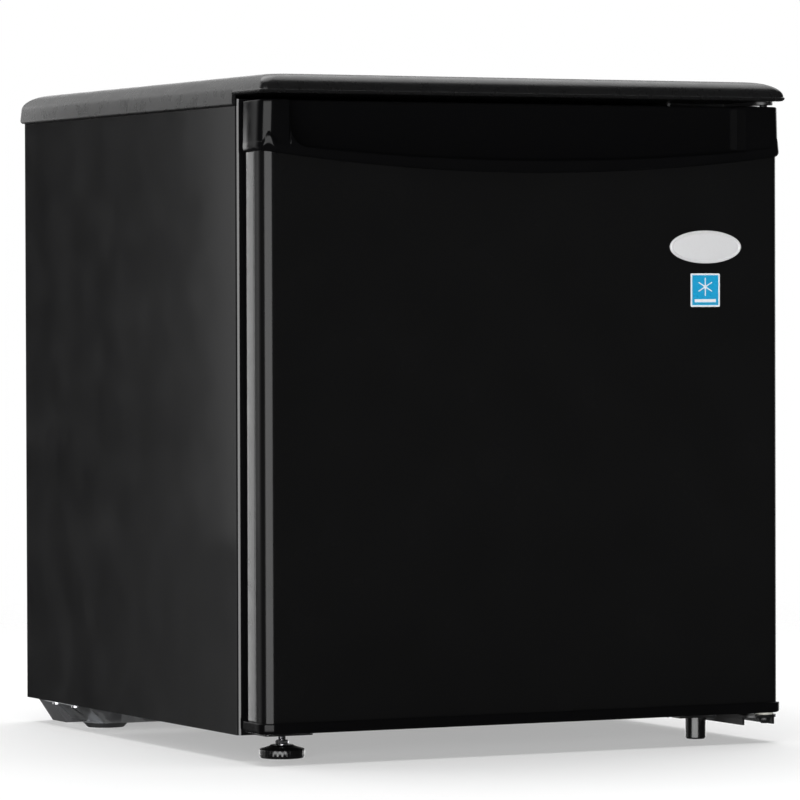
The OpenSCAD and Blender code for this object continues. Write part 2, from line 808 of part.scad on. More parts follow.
module harness_cable() color([0.15, 0.15, 0.15])
    translate([gland_x, comp_y - 10, relay_z1]) {
        height = bay_top - relay_z1 - 0.2;
        cylinder(r = 3.2, h = height);
        translate([0, 0, height - 8]) cylinder(r = 6, h = 8);
    }

module discharge_tube() color([0.78, 0.48, 0.3])
    translate(discharge_at) {
        out = 46;
        first_r = 16;
        second_r = 14;
        run = 30;
        x = out + first_r;
        translate([1, 0, 0]) rotate([0, 90, 0]) cylinder(r = discharge_r, h = out - 1);
        translate([out, -first_r, 0]) bend(first_r, discharge_r);
        translate([x, -first_r, 0]) rotate([90, 0, 0]) cylinder(r = discharge_r, h = run);
        translate([x, -first_r - run, second_r]) rotate([-90, 0, -90]) bend(second_r, discharge_r);
        translate([x, -first_r - run - second_r, second_r])
            cylinder(r = discharge_r, h = bay_top - discharge_at[2] - second_r - 0.3);
    }

module suction_tube() color([0.78, 0.48, 0.3])
    translate(suction_at) {
        turn = 12;
        out = 43;
        translate([-out - turn, 0, turn]) cylinder(r = tube_r, h = bay_top - suction_at[2] - turn - 0.3);
        translate([-out, 0, turn]) rotate([-90, 0, 0]) rotate([0, 0, 90]) bend(turn, tube_r);
        translate([-out, 0, 0]) rotate([0, 90, 0]) cylinder(r = tube_r, h = out + 12);
    }

module process_tube() color([0.78, 0.48, 0.3])
    translate(process_at) rotate([-90, 0, 0]) {
        cylinder(r = tube_r, h = 7);
        translate([0, 0, 7 - tiny]) cylinder(r1 = tube_r, r2 = 1, h = 2);
    }

module filter_drier() color([0.8, 0.5, 0.32])
    translate(drier_at) {
        drier_r = 9.5;
        drier_l = 84;
        neck = 8;
        inlet_r = 2.2;
        outlet_r = 1.2;
        turn = 12;
        run = drier_at[1] - turn - bay_front - steel_t - 0.3;
        cylinder(r = drier_r, h = drier_l);
        translate([0, 0, -neck]) cylinder(r1 = inlet_r, r2 = drier_r, h = neck);
        translate([0, 0, drier_l]) cylinder(r1 = drier_r, r2 = outlet_r, h = neck);
        translate([0, 0, drier_l]) cylinder(r = outlet_r, h = bay_top - drier_at[2] - drier_l - 0.3);
        translate([0, 0, -neck - 5]) cylinder(r = inlet_r, h = 6);
        translate([0, -turn, -neck - 5]) rotate([90, 0, 90]) rotate([0, 0, -90]) bend(turn, inlet_r);
        translate([0, -turn, -neck - 5 - turn]) rotate([90, 0, 0]) cylinder(r = inlet_r, h = run);
    }

// Hinges and feet of the cabinet

module upper_hinge_plate() color([0.1, 0.1, 0.1])
    upright(cabinet_top, cabinet_top + plate_t) difference() {
        union() {
            round_rect([pin_x - 62, cab_front + 4], [pin_x + 4, cab_front + 26], 3);
            translate([pin_x - 11, pin_y]) square([18, cab_front + 20 - pin_y]);
            translate([pin_x - 2, pin_y]) circle(9);
        }
        translate([pin_x, pin_y]) circle(pin_r);
        for (x = upper_screw_x)
            translate([x, cab_front + 15]) circle(2.2);
    }

module upper_hinge_pin() color([0.72, 0.72, 0.74])
    translate([pin_x, pin_y, cabinet_top - 13.5])
        cylinder(r = pin_r - 0.01, h = 13.5 + plate_t);

module upper_hinge_screws() color([0.6, 0.6, 0.62])
    for (x = upper_screw_x)
        translate([x, cab_front + 15, cabinet_top + 0.2]) cylinder(r = 2.1, h = plate_t - 0.2);

module lower_hinge_bracket() color([0.09, 0.09, 0.09]) {
    arm_x0 = pin_x - 20;
    arm_x1 = half_w - 0.5;
    arm_front = door_front + 0.5;
    arm_low = 14;
    nose_r = 9;
    sheet = 2;
    difference() {
        union() {
            block([leg_x - 22, cab_front + 2, bracket_z0], [half_w - 1, cab_front + 55, floor_gap]);
            upright(lower_arm_top - sheet, lower_arm_top) union() {
                translate([arm_x0, arm_front + nose_r])
                    square([arm_x1 - arm_x0, cab_front - 0.3 - arm_front - nose_r]);
                round_rect([arm_x0, arm_front], [arm_x1, arm_front + 30], nose_r);
            }
            for (x = [arm_x0, arm_x1 - sheet])
                block([x, arm_front + nose_r, arm_low], [x + sheet, cab_front + 50, lower_arm_top - sheet]);
            block([arm_x0, cab_front - 6, bracket_z0], [arm_x1, cab_front + 4, lower_arm_top - sheet]);
        }
        translate([pin_x, pin_y, 0]) cylinder(r = pin_r, h = 40);
        translate([leg_x, leg_y, 10]) cylinder(r = 2.6, h = 20);
        at_underside_screws() screw_hole();
    }
}

module lower_hinge_pin() color([0.72, 0.72, 0.74])
    translate([pin_x, pin_y, lower_pin_z0]) {
        cylinder(r = pin_r - 0.01, h = door_z0 + trim_h - 0.5 - lower_pin_z0);
        translate([0, 0, 1.2]) cylinder(r = 5, h = 3.6, $fn = 6);
    }

module hinge_washer() color([0.85, 0.85, 0.83])
    translate([pin_x, pin_y, lower_arm_top]) difference() {
        cylinder(r = 7, h = washer_t);
        translate([0, 0, -1]) cylinder(r = pin_r + 0.02, h = 5);
    }

module underside_screws() color([0.7, 0.7, 0.72]) at_underside_screws() screw(3.6, screw_l - 2);

module hinge_side_leg() color([0.08, 0.08, 0.08])
    translate([leg_x, leg_y, 0]) difference() {
        union() {
            cylinder(r = leg_d / 2 - 0.8, h = 1);
            translate([0, 0, 0.9]) cylinder(r = leg_d / 2, h = bracket_z0 - 0.9);
            cylinder(r = 2.5, h = floor_gap);
        }
        translate([0, 0, -1]) cylinder(r = 3.5, h = 4);
    }

module foot_nut_plate() color([0.6, 0.61, 0.63])
    translate([foot_x, foot_y, 0]) difference() {
        union() {
            upright(bracket_z0, floor_gap + steel_t) round_rect([-20, -15], [20, 15], 3);
            translate([0, 0, floor_gap]) cylinder(r = 6.8, h = 24);
        }
        translate([0, 0, 10]) cylinder(r = stem_d / 2 + pin_play, h = 50);
    }

module levelling_foot_pad() color([0.07, 0.07, 0.07])
    translate([foot_x, foot_y, 0]) difference() {
        union() {
            cylinder(r1 = pad_d / 2 - 1, r2 = pad_d / 2, h = 1.5);
            translate([0, 0, 1.4]) cylinder(r = pad_d / 2, h = 5.6);
            translate([0, 0, 6.9]) cylinder(r1 = pad_d / 2, r2 = 9, h = pad_h - 7);
        }
        translate([0, 0, 4]) cylinder(r = hub_r, h = 10);
    }

module levelling_foot_stem() color([0.68, 0.68, 0.7])
    translate([foot_x, foot_y, 0]) {
        translate([0, 0, 4.05]) cylinder(r = hub_r - pin_play, h = 2);
        translate([0, 0, 6]) cylinder(r = stem_d / 2, h = 36);
        translate([0, 0, pad_h + 0.4]) cylinder(r = 5.6, h = 3, $fn = 6);
    }

// The door

// The door's outline from above, grown sideways and forward
module door_plan(side, front) {
    straight_d = 15;
    union() {
        translate([-half_w - side, door_front + straight_d])
            square([cabinet_w + 2 * side, door_t - straight_d]);
        round_rect([-half_w - side, door_front - front], [half_w + side, door_front + 30], door_r + side);
    }
}

// Everything above the curve that the handle lip's lower edge follows
module above_lip_curve() {
    intersection() {
        translate([0, lip_low + lip_low_r]) circle(lip_low_r, $fn = arc_fn);
        translate([-half_w - 10, lip_low - 5]) square([cabinet_w + 20, 90]);
    }
}

// Everything above the curve of the lip's rim
module above_rim_curve() {
    intersection() {
        translate([0, rim_low + rim_r]) circle(rim_r, $fn = arc_fn);
        translate([-half_w - 10, lip_low - 5]) square([cabinet_w + 20, 120]);
    }
}

module door_skin() color([0.05, 0.05, 0.055])
    difference() {
        upright(door_z0 + trim_h, door_z1 - 20) difference() {
            door_plan(0, 0);
            translate([-half_w - 1, door_back - strip_d]) square([cabinet_w + 2, 40]);
            translate([-half_w + steel_t, door_front + steel_t + door_r - 0.5])
                square([cabinet_w - 2 * steel_t, 40]);
            round_rect([-half_w + steel_t, door_front + steel_t], [half_w - steel_t, door_front + 60],
                       door_r - steel_t);
        }
        through(door_front - 20, door_back + 20) above_lip_curve();
    }

// Plastic strips that close the door's sides behind the steel: each leans in towards its rear edge
module door_side_strips() color([0.08, 0.08, 0.08])
    difference() {
        for (side = [-1, 1])
            upright(door_z0 + trim_h, lip_low + lip_rise) mirror([side < 0 ? 1 : 0, 0])
                polygon([[half_w - strip_t, door_back - strip_d], [half_w - 0.2, door_back - strip_d],
                         [half_w - 1.5, door_back], [half_w - flange_w, door_back],
                         [half_w - flange_w, door_back - 2], [half_w - strip_t, door_back - 2]]);
        through(door_front - 20, door_back + 20) above_lip_curve();
    }

module door_top_cap() color([0.06, 0.06, 0.065])
    difference() {
        union() {
            intersection() {
                upright(lip_low - 5, door_z1) door_plan(0, 0);
                through(door_front - 20, door_back) above_lip_curve();
            }
            intersection() {
                upright(lip_low - 5, door_z1 - 10) door_plan(trim_out, lip_out);
                through(door_front - 20, door_back) difference() {
                    above_lip_curve();
                    above_rim_curve();
                }
            }
            block([-half_w + 16, door_front + steel_t + tiny, cap_core_z0],
                  [half_w - 16, door_back - 2.2, door_z1 - 20]);
        }
        through(door_front - 20, door_front + recess_d) union() {
            intersection() {
                above_rim_curve();
                translate([recess_x0 + recess_r, lip_low]) square([recess_x1 - recess_x0 - 2 * recess_r, 90]);
            }
            round_rect([recess_x0, rim_low + 7.5], [recess_x1, door_z1 + 40], recess_r);
        }
        block([recess_x0 + 6, door_front + 3, pocket_z0],
              [recess_x1 - 6, door_front + recess_d + 5, rim_low + 20]);
        through(door_back - 2.2, door_back + 1)
            round_rect(flange_low - [tiny, 0], flange_high + [tiny, tiny], 4);
        for (x = [-pin_x, pin_x])
            translate([x, pin_y, door_z1 - bushing_l]) cylinder(r = bushing_r, h = 20);
    }

module door_bottom_trim() color([0.06, 0.06, 0.065])
    difference() {
        upright(door_z0, door_z0 + trim_h) door_plan(trim_out, 2.2);
        block([-half_w + 20, door_front + 3, door_z0 + 3], [half_w - 20, door_back - 3, 60]);
        for (x = [-pin_x, pin_x])
            translate([x, pin_y, door_z0 - 1]) cylinder(r = bushing_r, h = 20);
    }

module door_foam() color([0.93, 0.86, 0.6]) {
    front_half = half_w - steel_t - sheet_gap;
    rear_half = half_w - strip_t - sheet_gap;
    z0 = door_z0 + trim_h + sheet_gap;
    z1 = cap_core_z0 - sheet_gap;
    strip_front = door_back - strip_d - sheet_gap;
    difference() {
        union() {
            block([-front_half, door_front + steel_t + sheet_gap, z0], [front_half, strip_front, z1]);
            block([-rear_half, strip_front - tiny, z0], [rear_half, door_back - 2.1, z1]);
        }
        for (x = [-1, 1])
            translate([x * half_w, door_front, 0]) cube([20, 20, 1000], center = true);
        dyke_channel(sheet_gap);
    }
}

// The hollow behind the liner's raised frame, which stays empty of foam
module dyke_channel(more) {
    wall = 1.5;
    frame_ring(dyke_x - wall + more, dyke_z0 + wall - more, dyke_z1 - wall + more,
               dyke_w - 2 * wall + 2 * more, 8, door_back - 2.2, door_back + dyke_out - wall);
}

module door_liner() color([0.95, 0.96, 0.97])
    difference() {
        union() {
            through(door_back - 2, flange_y) round_rect(flange_low, flange_high, 4);
            frame_ring(dyke_x, dyke_z0, dyke_z1, dyke_w, 10, door_back - 1, door_back + dyke_out);
            for (side = [-1, 1], bin = [upper_bin, lower_bin])
                block([side < 0 ? -bin_half - 1 - tiny : bin_half - lug[0], door_back + 12, bin[0] - lug[2]],
                      [side < 0 ? -bin_half + lug[0] : bin_half + 1 + tiny, door_back + 12 + lug[1], bin[0]]);
        }
        dyke_channel(0);
    }

// One layer of the gasket's section, drawn in by inset, between two depths
module gasket_layer(inset, r, y0, y1) {
    frame_ring(gasket_x - inset, gasket_z0 + inset, gasket_z1 - inset, gasket_w - 2 * inset, r, y0, y1);
}

module door_gasket() color([0.07, 0.07, 0.07])
    difference() {
        union() {
            gasket_layer(0, 6, door_back, door_back + 3);
            gasket_layer(3, 5, door_back + 2.9, door_back + 6.6);
            gasket_layer(0, 6, door_back + 6.5, cab_front - gasket_play);
        }
        gasket_layer(2, 4, door_back + 8.5, cab_front - 2);
    }

module gasket_magnets() color([0.2, 0.18, 0.17]) gasket_layer(2.1, 4, door_back + 8.6, cab_front - 2.1);

module door_bin(size, r) {
    back = flange_y;
    difference() {
        upright(size[0], size[0] + size[1]) round_rect([-bin_half, back], [bin_half, back + size[2]], r);
        upright(size[0] + bin_t, size[0] + size[1] + 10)
            round_rect([-bin_half + bin_t, back + bin_t], [bin_half - bin_t, back + size[2] - bin_t],
                       r - bin_t);
    }
}

module upper_door_bin() color([0.92, 0.94, 0.96]) door_bin(upper_bin, upper_bin_r);

module lower_door_bin() color([0.92, 0.94, 0.96]) door_bin(lower_bin, lower_bin_r);

module bin_rail(z, depth) {
    x_arm = bin_half - rail_r - 0.2;
    y = flange_y + depth - 6;
    translate([-x_arm, y, z]) rotate([0, 90, 0]) cylinder(r = rail_r, h = 2 * x_arm);
    for (x = [-x_arm, x_arm])
        translate([x, y, z]) {
            sphere(rail_r);
            rotate([90, 0, 0]) cylinder(r = rail_r, h = y - flange_y);
        }
}

module bin_rails() color([0.95, 0.95, 0.96]) {
    bin_rail(upper_bin[0] + upper_rail, upper_bin[2]);
    bin_rail(lower_bin[0] + lower_rail, lower_bin[2]);
}

module bushing(z0, z1) {
    translate([pin_x, pin_y, z0]) difference() {
        cylinder(r = bushing_r, h = z1 - z0);
        translate([0, 0, -1]) cylinder(r = pin_r + pin_play, h = z1 - z0 + 2);
    }
}

module upper_bushing() color([0.85, 0.85, 0.83]) bushing(door_z1 - bushing_l, door_z1);

module lower_bushing() color([0.85, 0.85, 0.83]) bushing(door_z0, door_z0 + trim_h);

// An ellipse in X and Z
module oval(w, h) {
    polygon([for (a = [0 : 5 : 355]) [w / 2 * cos(a), h / 2 * sin(a)]]);
}

module oval_badge() color([0.8, 0.8, 0.8])
    translate([badge_x, 0, badge_z]) through(door_front - 1.8, door_front - 0.02) oval(badge_w, badge_h);

module blank_label() color([0.2, 0.6, 0.85])
    translate([badge_x, 0, label_z]) through(door_front - 0.15, door_front - 0.02)
        round_rect([-label_half, -label_half], [label_half, label_half], 0.8);

cabinet_wrapper();
rear_panel();
bottom_panel();
insulation_foam();
inner_liner();
top_cover();
cover_screws();
rear_screws();
condenser_coil();
evaporator_plate();
evaporator_spacers();
drip_trough();
drain_tube();
evaporation_pan();
full_shelf();
half_shelf();
thermostat_housing();
thermostat_switch();
thermostat_shaft();
sensor_tube();
thermostat_knob();
compressor_tray();
rear_feet();
compressor();
compressor_base();
compressor_grommets();
compressor_bolts();
relay_cover();
cord_gland();
harness_cable();
discharge_tube();
suction_tube();
process_tube();
filter_drier();
upper_hinge_plate();
upper_hinge_pin();
upper_hinge_screws();
lower_hinge_bracket();
lower_hinge_pin();
hinge_washer();
underside_screws();
hinge_side_leg();
foot_nut_plate();
levelling_foot_pad();
levelling_foot_stem();
door_skin();
door_side_strips();
door_top_cap();
door_bottom_trim();
door_foam();
door_liner();
door_gasket();
gasket_magnets();
upper_door_bin();
lower_door_bin();
bin_rails();
upper_bushing();
lower_bushing();
oval_badge();
blank_label();
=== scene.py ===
"""Compact black refrigerator: materials, detailed skins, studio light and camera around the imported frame."""

import json
import math

import bmesh
import bpy
from mathutils import Matrix, Vector


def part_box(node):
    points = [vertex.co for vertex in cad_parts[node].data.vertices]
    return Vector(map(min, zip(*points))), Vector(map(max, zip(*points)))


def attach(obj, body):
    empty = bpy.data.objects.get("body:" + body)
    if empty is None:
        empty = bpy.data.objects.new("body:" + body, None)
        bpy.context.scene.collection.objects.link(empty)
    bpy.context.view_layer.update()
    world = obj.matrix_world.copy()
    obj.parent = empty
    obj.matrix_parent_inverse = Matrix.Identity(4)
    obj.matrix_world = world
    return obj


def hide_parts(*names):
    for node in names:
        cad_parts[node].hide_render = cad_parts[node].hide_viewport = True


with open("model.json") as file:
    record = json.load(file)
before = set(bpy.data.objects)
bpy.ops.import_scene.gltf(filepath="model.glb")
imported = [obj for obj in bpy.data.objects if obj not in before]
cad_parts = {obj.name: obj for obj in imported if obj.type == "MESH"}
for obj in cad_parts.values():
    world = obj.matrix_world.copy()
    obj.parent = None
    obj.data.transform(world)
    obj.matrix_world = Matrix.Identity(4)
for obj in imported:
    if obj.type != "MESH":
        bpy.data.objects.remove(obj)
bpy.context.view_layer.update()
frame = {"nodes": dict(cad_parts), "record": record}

MM = 0.001

# ---------------------------------------------------------------- sizes, from the frame where it has them

skin_low, skin_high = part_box("door_skin")
cap_low, cap_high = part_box("door_top_cap")
trim_low, trim_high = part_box("door_bottom_trim")
cover_low, cover_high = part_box("top_cover")
wrap_low, wrap_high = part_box("cabinet_wrapper")
gasket_low, gasket_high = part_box("door_gasket")
badge_low, badge_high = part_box("oval_badge")
label_low, label_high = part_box("blank_label")
stem_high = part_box("levelling_foot_stem")[1]
pad_low, pad_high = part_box("levelling_foot_pad")
knob_low, knob_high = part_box("thermostat_knob")

# The door and the cabinet
HALF_W = skin_high.x
DOOR_FRONT = skin_low.y
DOOR_BACK = cap_high.y
DOOR_TOP = cap_high.z
SKIN_BOTTOM = skin_low.z
DOOR_R = 9.5 * MM  # the door's upright front edges
CAB_FRONT = wrap_low.y
CAB_TOP = wrap_high.z

# The cap's lip: its lower edge and its rim are lowest in the middle of the door and rise towards the sides
LIP_LOW = 444.3 * MM
LIP_H = 9.4 * MM
LIP_RISE = 14.7 * MM
RIM_RISE = 12 * MM
LIP_OUT = DOOR_FRONT - cap_low.y

# The recess behind the lip, where fingers reach in
RECESS_D = 11 * MM
RECESS_LEFT = -HALF_W + 21.5 * MM
RECESS_RIGHT = HALF_W - 32 * MM
POCKET_FLOOR = 431 * MM


# ---------------------------------------------------------------- mesh helpers

def mesh_object(name, points, faces, smooth=True):
    """A new mesh object from plain points and faces."""
    mesh = bpy.data.meshes.new(name)
    mesh.from_pydata(points, [], faces)
    mesh.validate()
    mesh.update()
    if smooth:
        mesh.polygons.foreach_set("use_smooth", [True] * len(mesh.polygons))
    piece = bpy.data.objects.new(name, mesh)
    bpy.context.scene.collection.objects.link(piece)
    return piece


def loft(name, rings, loop=False, tube=False, cap_start=False, cap_end=False, more_faces=()):
    """Quads between rings of equal length. loop joins the last ring to the first, tube closes each ring."""
    count = len(rings[0])
    points = [tuple(p) for ring in rings for p in ring]
    faces = []
    spans = len(rings) if loop else len(rings) - 1
    for i in range(spans):
        a, b = i * count, (i + 1) % len(rings) * count
        for j in range(count if tube else count - 1):
            k = (j + 1) % count
            faces.append((a + j, a + k, b + k, b + j))
    if cap_start:
        faces.append(tuple(range(count)))
    if cap_end:
        faces.append(tuple(reversed(range(len(points) - count, len(points)))))
    faces.extend(more_faces)
    return mesh_object(name, points, faces)


def fix_normals(piece):
    """Turns all faces of a piece outwards."""
    work = bmesh.new()
    work.from_mesh(piece.data)
    bmesh.ops.remove_doubles(work, verts=work.verts, dist=1e-6)
    bmesh.ops.recalc_face_normals(work, faces=work.faces)
    work.to_mesh(piece.data)
    work.free()
    return piece


def sharpen(piece, degrees=35):
    """Smooth shading that keeps edges over the given angle crisp."""
    piece.data.set_sharp_from_angle(angle=math.radians(degrees))
    return piece


def smoothstep(t):
    t = min(1.0, max(0.0, t))
    return t * t * (3 - 2 * t)


def mix(a, b, t):
    return a + (b - a) * t


def span(start, end, steps):
    """Evenly spaced values from start to end, both included."""
    return [mix(start, end, i / steps) for i in range(steps + 1)]


# ---------------------------------------------------------------- material helpers

class Shade:
    """One node material, built up by short calls. Texture coordinates are the object's own metres."""

    def __init__(self, name, color, roughness, metallic=0.0, specular=0.5):
        self.mat = bpy.data.materials.new(name)
        self.mat.use_nodes = True
        self.tree = self.mat.node_tree
        self.bsdf = self.tree.nodes["Principled BSDF"]
        self.coords = self.tree.nodes.new("ShaderNodeTexCoord").outputs["Object"]
        self.normal = None
        self.set("Base Color", (*color, 1))
        self.set("Roughness", roughness)
        self.set("Metallic", metallic)
        self.set("Specular IOR Level", specular)
        self.mat.diffuse_color = (*color, 1)

    def set(self, socket, value):
        self.bsdf.inputs[socket].default_value = value
        return self

    def link(self, source, socket):
        self.tree.links.new(source, self.bsdf.inputs[socket])
        return self

    def stretched(self, stretch):
        """The coordinates, scaled along each axis."""
        if stretch == (1, 1, 1):
            return self.coords
        mapping = self.tree.nodes.new("ShaderNodeMapping")
        mapping.inputs["Scale"].default_value = stretch
        self.tree.links.new(self.coords, mapping.inputs["Vector"])
        return mapping.outputs["Vector"]

    def noise(self, cell, detail=2.0, roughness=0.5, stretch=(1, 1, 1)):
        """Noise whose lumps are about cell metres across."""
        node = self.tree.nodes.new("ShaderNodeTexNoise")
        node.inputs["Scale"].default_value = 1 / cell
        node.inputs["Detail"].default_value = detail
        node.inputs["Roughness"].default_value = roughness
        self.tree.links.new(self.stretched(stretch), node.inputs["Vector"])
        return node.outputs["Fac"]

    def cells(self, cell, output="Distance", feature="F1", stretch=(1, 1, 1)):
        """Voronoi cells about cell metres across."""
        node = self.tree.nodes.new("ShaderNodeTexVoronoi")
        node.feature = feature
        node.inputs["Scale"].default_value = 1 / cell
        self.tree.links.new(self.stretched(stretch), node.inputs["Vector"])
        return node.outputs[output]

    def remap(self, value, low, high, to_low, to_high):
        node = self.tree.nodes.new("ShaderNodeMapRange")
        self.tree.links.new(value, node.inputs["Value"])
        for socket, number in zip(("From Min", "From Max", "To Min", "To Max"), (low, high, to_low, to_high)):
            node.inputs[socket].default_value = number
        return node.outputs["Result"]

    def blend(self, factor, first, second):
        """A colour between two colours."""
        node = self.tree.nodes.new("ShaderNodeMix")
        node.data_type = "RGBA"
        self.tree.links.new(factor, node.inputs["Factor"])
        for socket, color in (("A", first), ("B", second)):
            target = [s for s in node.inputs if s.name == socket and s.type == "RGBA"][0]
            target.default_value = (*color, 1)
        return [s for s in node.outputs if s.type == "RGBA"][0]

    def math(self, kind, first, second=None):
        node = self.tree.nodes.new("ShaderNodeMath")
        node.operation = kind
        for i, value in enumerate((first, second)):
            if value is None:
                continue
            if hasattr(value, "node"):
                self.tree.links.new(value, node.inputs[i])
            else:
                node.inputs[i].default_value = value
        return node.outputs["Value"]

    def axis(self, name):
        """One coordinate, X, Y or Z, in metres."""
        node = self.tree.nodes.new("ShaderNodeSeparateXYZ")
        self.tree.links.new(self.coords, node.inputs["Vector"])
        return node.outputs[name]

    def color_from(self, factor, first, second):
        return self.link(self.blend(factor, first, second), "Base Color")

    def rough_from(self, factor, low, high, to_low, to_high):
        return self.link(self.remap(factor, low, high, to_low, to_high), "Roughness")

    def bump(self, height, depth):
        """Raises the surface by height times depth metres, on top of earlier bumps."""
        node = self.tree.nodes.new("ShaderNodeBump")
        node.inputs["Distance"].default_value = depth
        node.inputs["Strength"].default_value = 1.0
        self.tree.links.new(height, node.inputs["Height"])
        if self.normal is not None:
            self.tree.links.new(self.normal, node.inputs["Normal"])
        self.normal = node.outputs["Normal"]
        return self.link(self.normal, "Normal")


def tinted(color, factor):
    return tuple(min(1.0, c * factor) for c in color)


# ---------------------------------------------------------------- materials, one function per kind of surface

def enamel(name, color, roughness, peel, specular=0.5, peel_cell=1.6 * MM):
    """Sprayed enamel on sheet steel: orange peel, slow waves in the sheet, faint smears in the gloss."""
    s = Shade(name, color, roughness, specular=specular)
    s.color_from(s.noise(60 * MM, 3), tinted(color, 0.85), tinted(color, 1.2))
    s.rough_from(s.noise(45 * MM, 5, 0.62), 0.3, 0.7, roughness - 0.015, roughness + 0.025)
    s.bump(s.noise(150 * MM, 1), 0.08 * MM)
    s.bump(s.noise(peel_cell, 2, 0.5), peel * MM)
    return s


def moulded(name, color, roughness, grain_cell, grain, specular=0.5):
    """Moulded plastic with a spark-eroded grain and slight flow marks."""
    s = Shade(name, color, roughness, specular=specular)
    s.color_from(s.noise(25 * MM, 4), tinted(color, 0.88), tinted(color, 1.14))
    s.rough_from(s.noise(14 * MM, 4, 0.6), 0.3, 0.7, roughness - 0.05, roughness + 0.06)
    s.bump(s.noise(grain_cell, 3, 0.6), grain * MM)
    return s


def worktop_material():
    """Leather-grained black worktop: rounded pebbles with fine valleys between them."""
    color = (0.006, 0.006, 0.0062)
    s = Shade("worktop_plastic", color, 0.28)
    pebbles = s.cells(1.4 * MM, feature="SMOOTH_F1")
    # Painted shade and highlight: the colour is darker in the valleys between the pebbles and lighter on the
    # pebble tops.
    s.color_from(s.remap(pebbles, 0.1, 0.75, 0, 1), tinted(color, 1.25), tinted(color, 0.6))
    s.rough_from(s.noise(12 * MM, 4), 0.3, 0.7, 0.24, 0.33)
    s.bump(s.math("MULTIPLY", pebbles, -1.0), 0.035 * MM)
    s.bump(s.noise(0.5 * MM, 2), 0.01 * MM)
    return s


def galvanised_material():
    """Zinc spangle: flat crystals of slightly different tone and gloss, with scuffs."""
    s = Shade("galvanised_steel", (0.6, 0.61, 0.62), 0.36, metallic=1.0)
    spangle = s.cells(9 * MM, "Color")
    tone = s.tree.nodes.new("ShaderNodeRGBToBW")
    s.tree.links.new(spangle, tone.inputs["Color"])
    s.color_from(tone.outputs["Val"], (0.5, 0.51, 0.53), (0.72, 0.73, 0.74))
    s.rough_from(tone.outputs["Val"], 0, 1, 0.24, 0.46)
    s.bump(s.noise(1.2 * MM, 3), 0.03 * MM)
    s.bump(s.noise(30 * MM, 2, stretch=(1, 0.1, 1)), 0.1 * MM)
    return s


def bright_metal(name, color, roughness, stretch=(1, 1, 1)):
    """Plated or drawn metal with fine scratches and a slightly uneven tone."""
    s = Shade(name, color, roughness, metallic=1.0)
    s.color_from(s.noise(5 * MM, 3), tinted(color, 0.82), tinted(color, 1.1))
    s.rough_from(s.noise(2 * MM, 4), 0.3, 0.7, roughness - 0.08, roughness + 0.1)
    s.bump(s.noise(0.8 * MM, 2, stretch=stretch), 0.02 * MM)
    return s


def rubber(name, color, roughness):
    s = Shade(name, color, roughness, specular=0.1)
    s.color_from(s.noise(6 * MM, 4), tinted(color, 0.8), tinted(color, 1.3))
    s.rough_from(s.noise(9 * MM, 3), 0.3, 0.7, roughness - 0.06, roughness + 0.08)
    s.bump(s.noise(0.7 * MM, 2), 0.03 * MM)
    return s


def liner_material():
    """Vacuum-formed polystyrene: glossy white with faint draw waves."""
    color = (0.84, 0.86, 0.87)
    s = Shade("white_liner", color, 0.25)
    s.set("Subsurface Weight", 0.05).set("Subsurface Radius", (0.004, 0.004, 0.004))
    s.color_from(s.noise(80 * MM, 2), tinted(color, 0.965), tinted(color, 1.02))
    s.rough_from(s.noise(30 * MM, 4), 0.3, 0.7, 0.2, 0.34)
    s.bump(s.noise(35 * MM, 2), 0.12 * MM)
    s.bump(s.noise(1.4 * MM, 2), 0.012 * MM)
    return s


def clear_bin_material():
    """Lightly tinted clear polystyrene."""
    color = (0.86, 0.9, 0.93)
    s = Shade("clear_bin_plastic", color, 0.08)
    s.set("IOR", 1.55).set("Transmission Weight", 0.82)
    s.color_from(s.noise(50 * MM, 2), tinted(color, 0.96), tinted(color, 1.03))
    s.rough_from(s.noise(20 * MM, 3), 0.3, 0.7, 0.06, 0.16)
    s.bump(s.noise(18 * MM, 2), 0.05 * MM)
    return s


def foam_material():
    color = (0.86, 0.74, 0.46)
    s = Shade("foam", color, 0.85)
    s.color_from(s.noise(8 * MM, 4), tinted(color, 0.85), tinted(color, 1.1))
    s.bump(s.cells(1.2 * MM), 0.3 * MM)
    return s


def badge_material():
    """Satin silver paint: fine metallic flakes under a clear coat."""
    color = (0.68, 0.68, 0.69)
    s = Shade("badge_metal", color, 0.45, metallic=0.25)
    s.set("Coat Weight", 0.3).set("Coat Roughness", 0.2)
    s.color_from(s.noise(0.5 * MM, 2), tinted(color, 0.94), tinted(color, 1.05))
    s.rough_from(s.noise(3 * MM, 3), 0.3, 0.7, 0.4, 0.5)
    s.bump(s.noise(0.6 * MM, 2), 0.002 * MM)
    return s


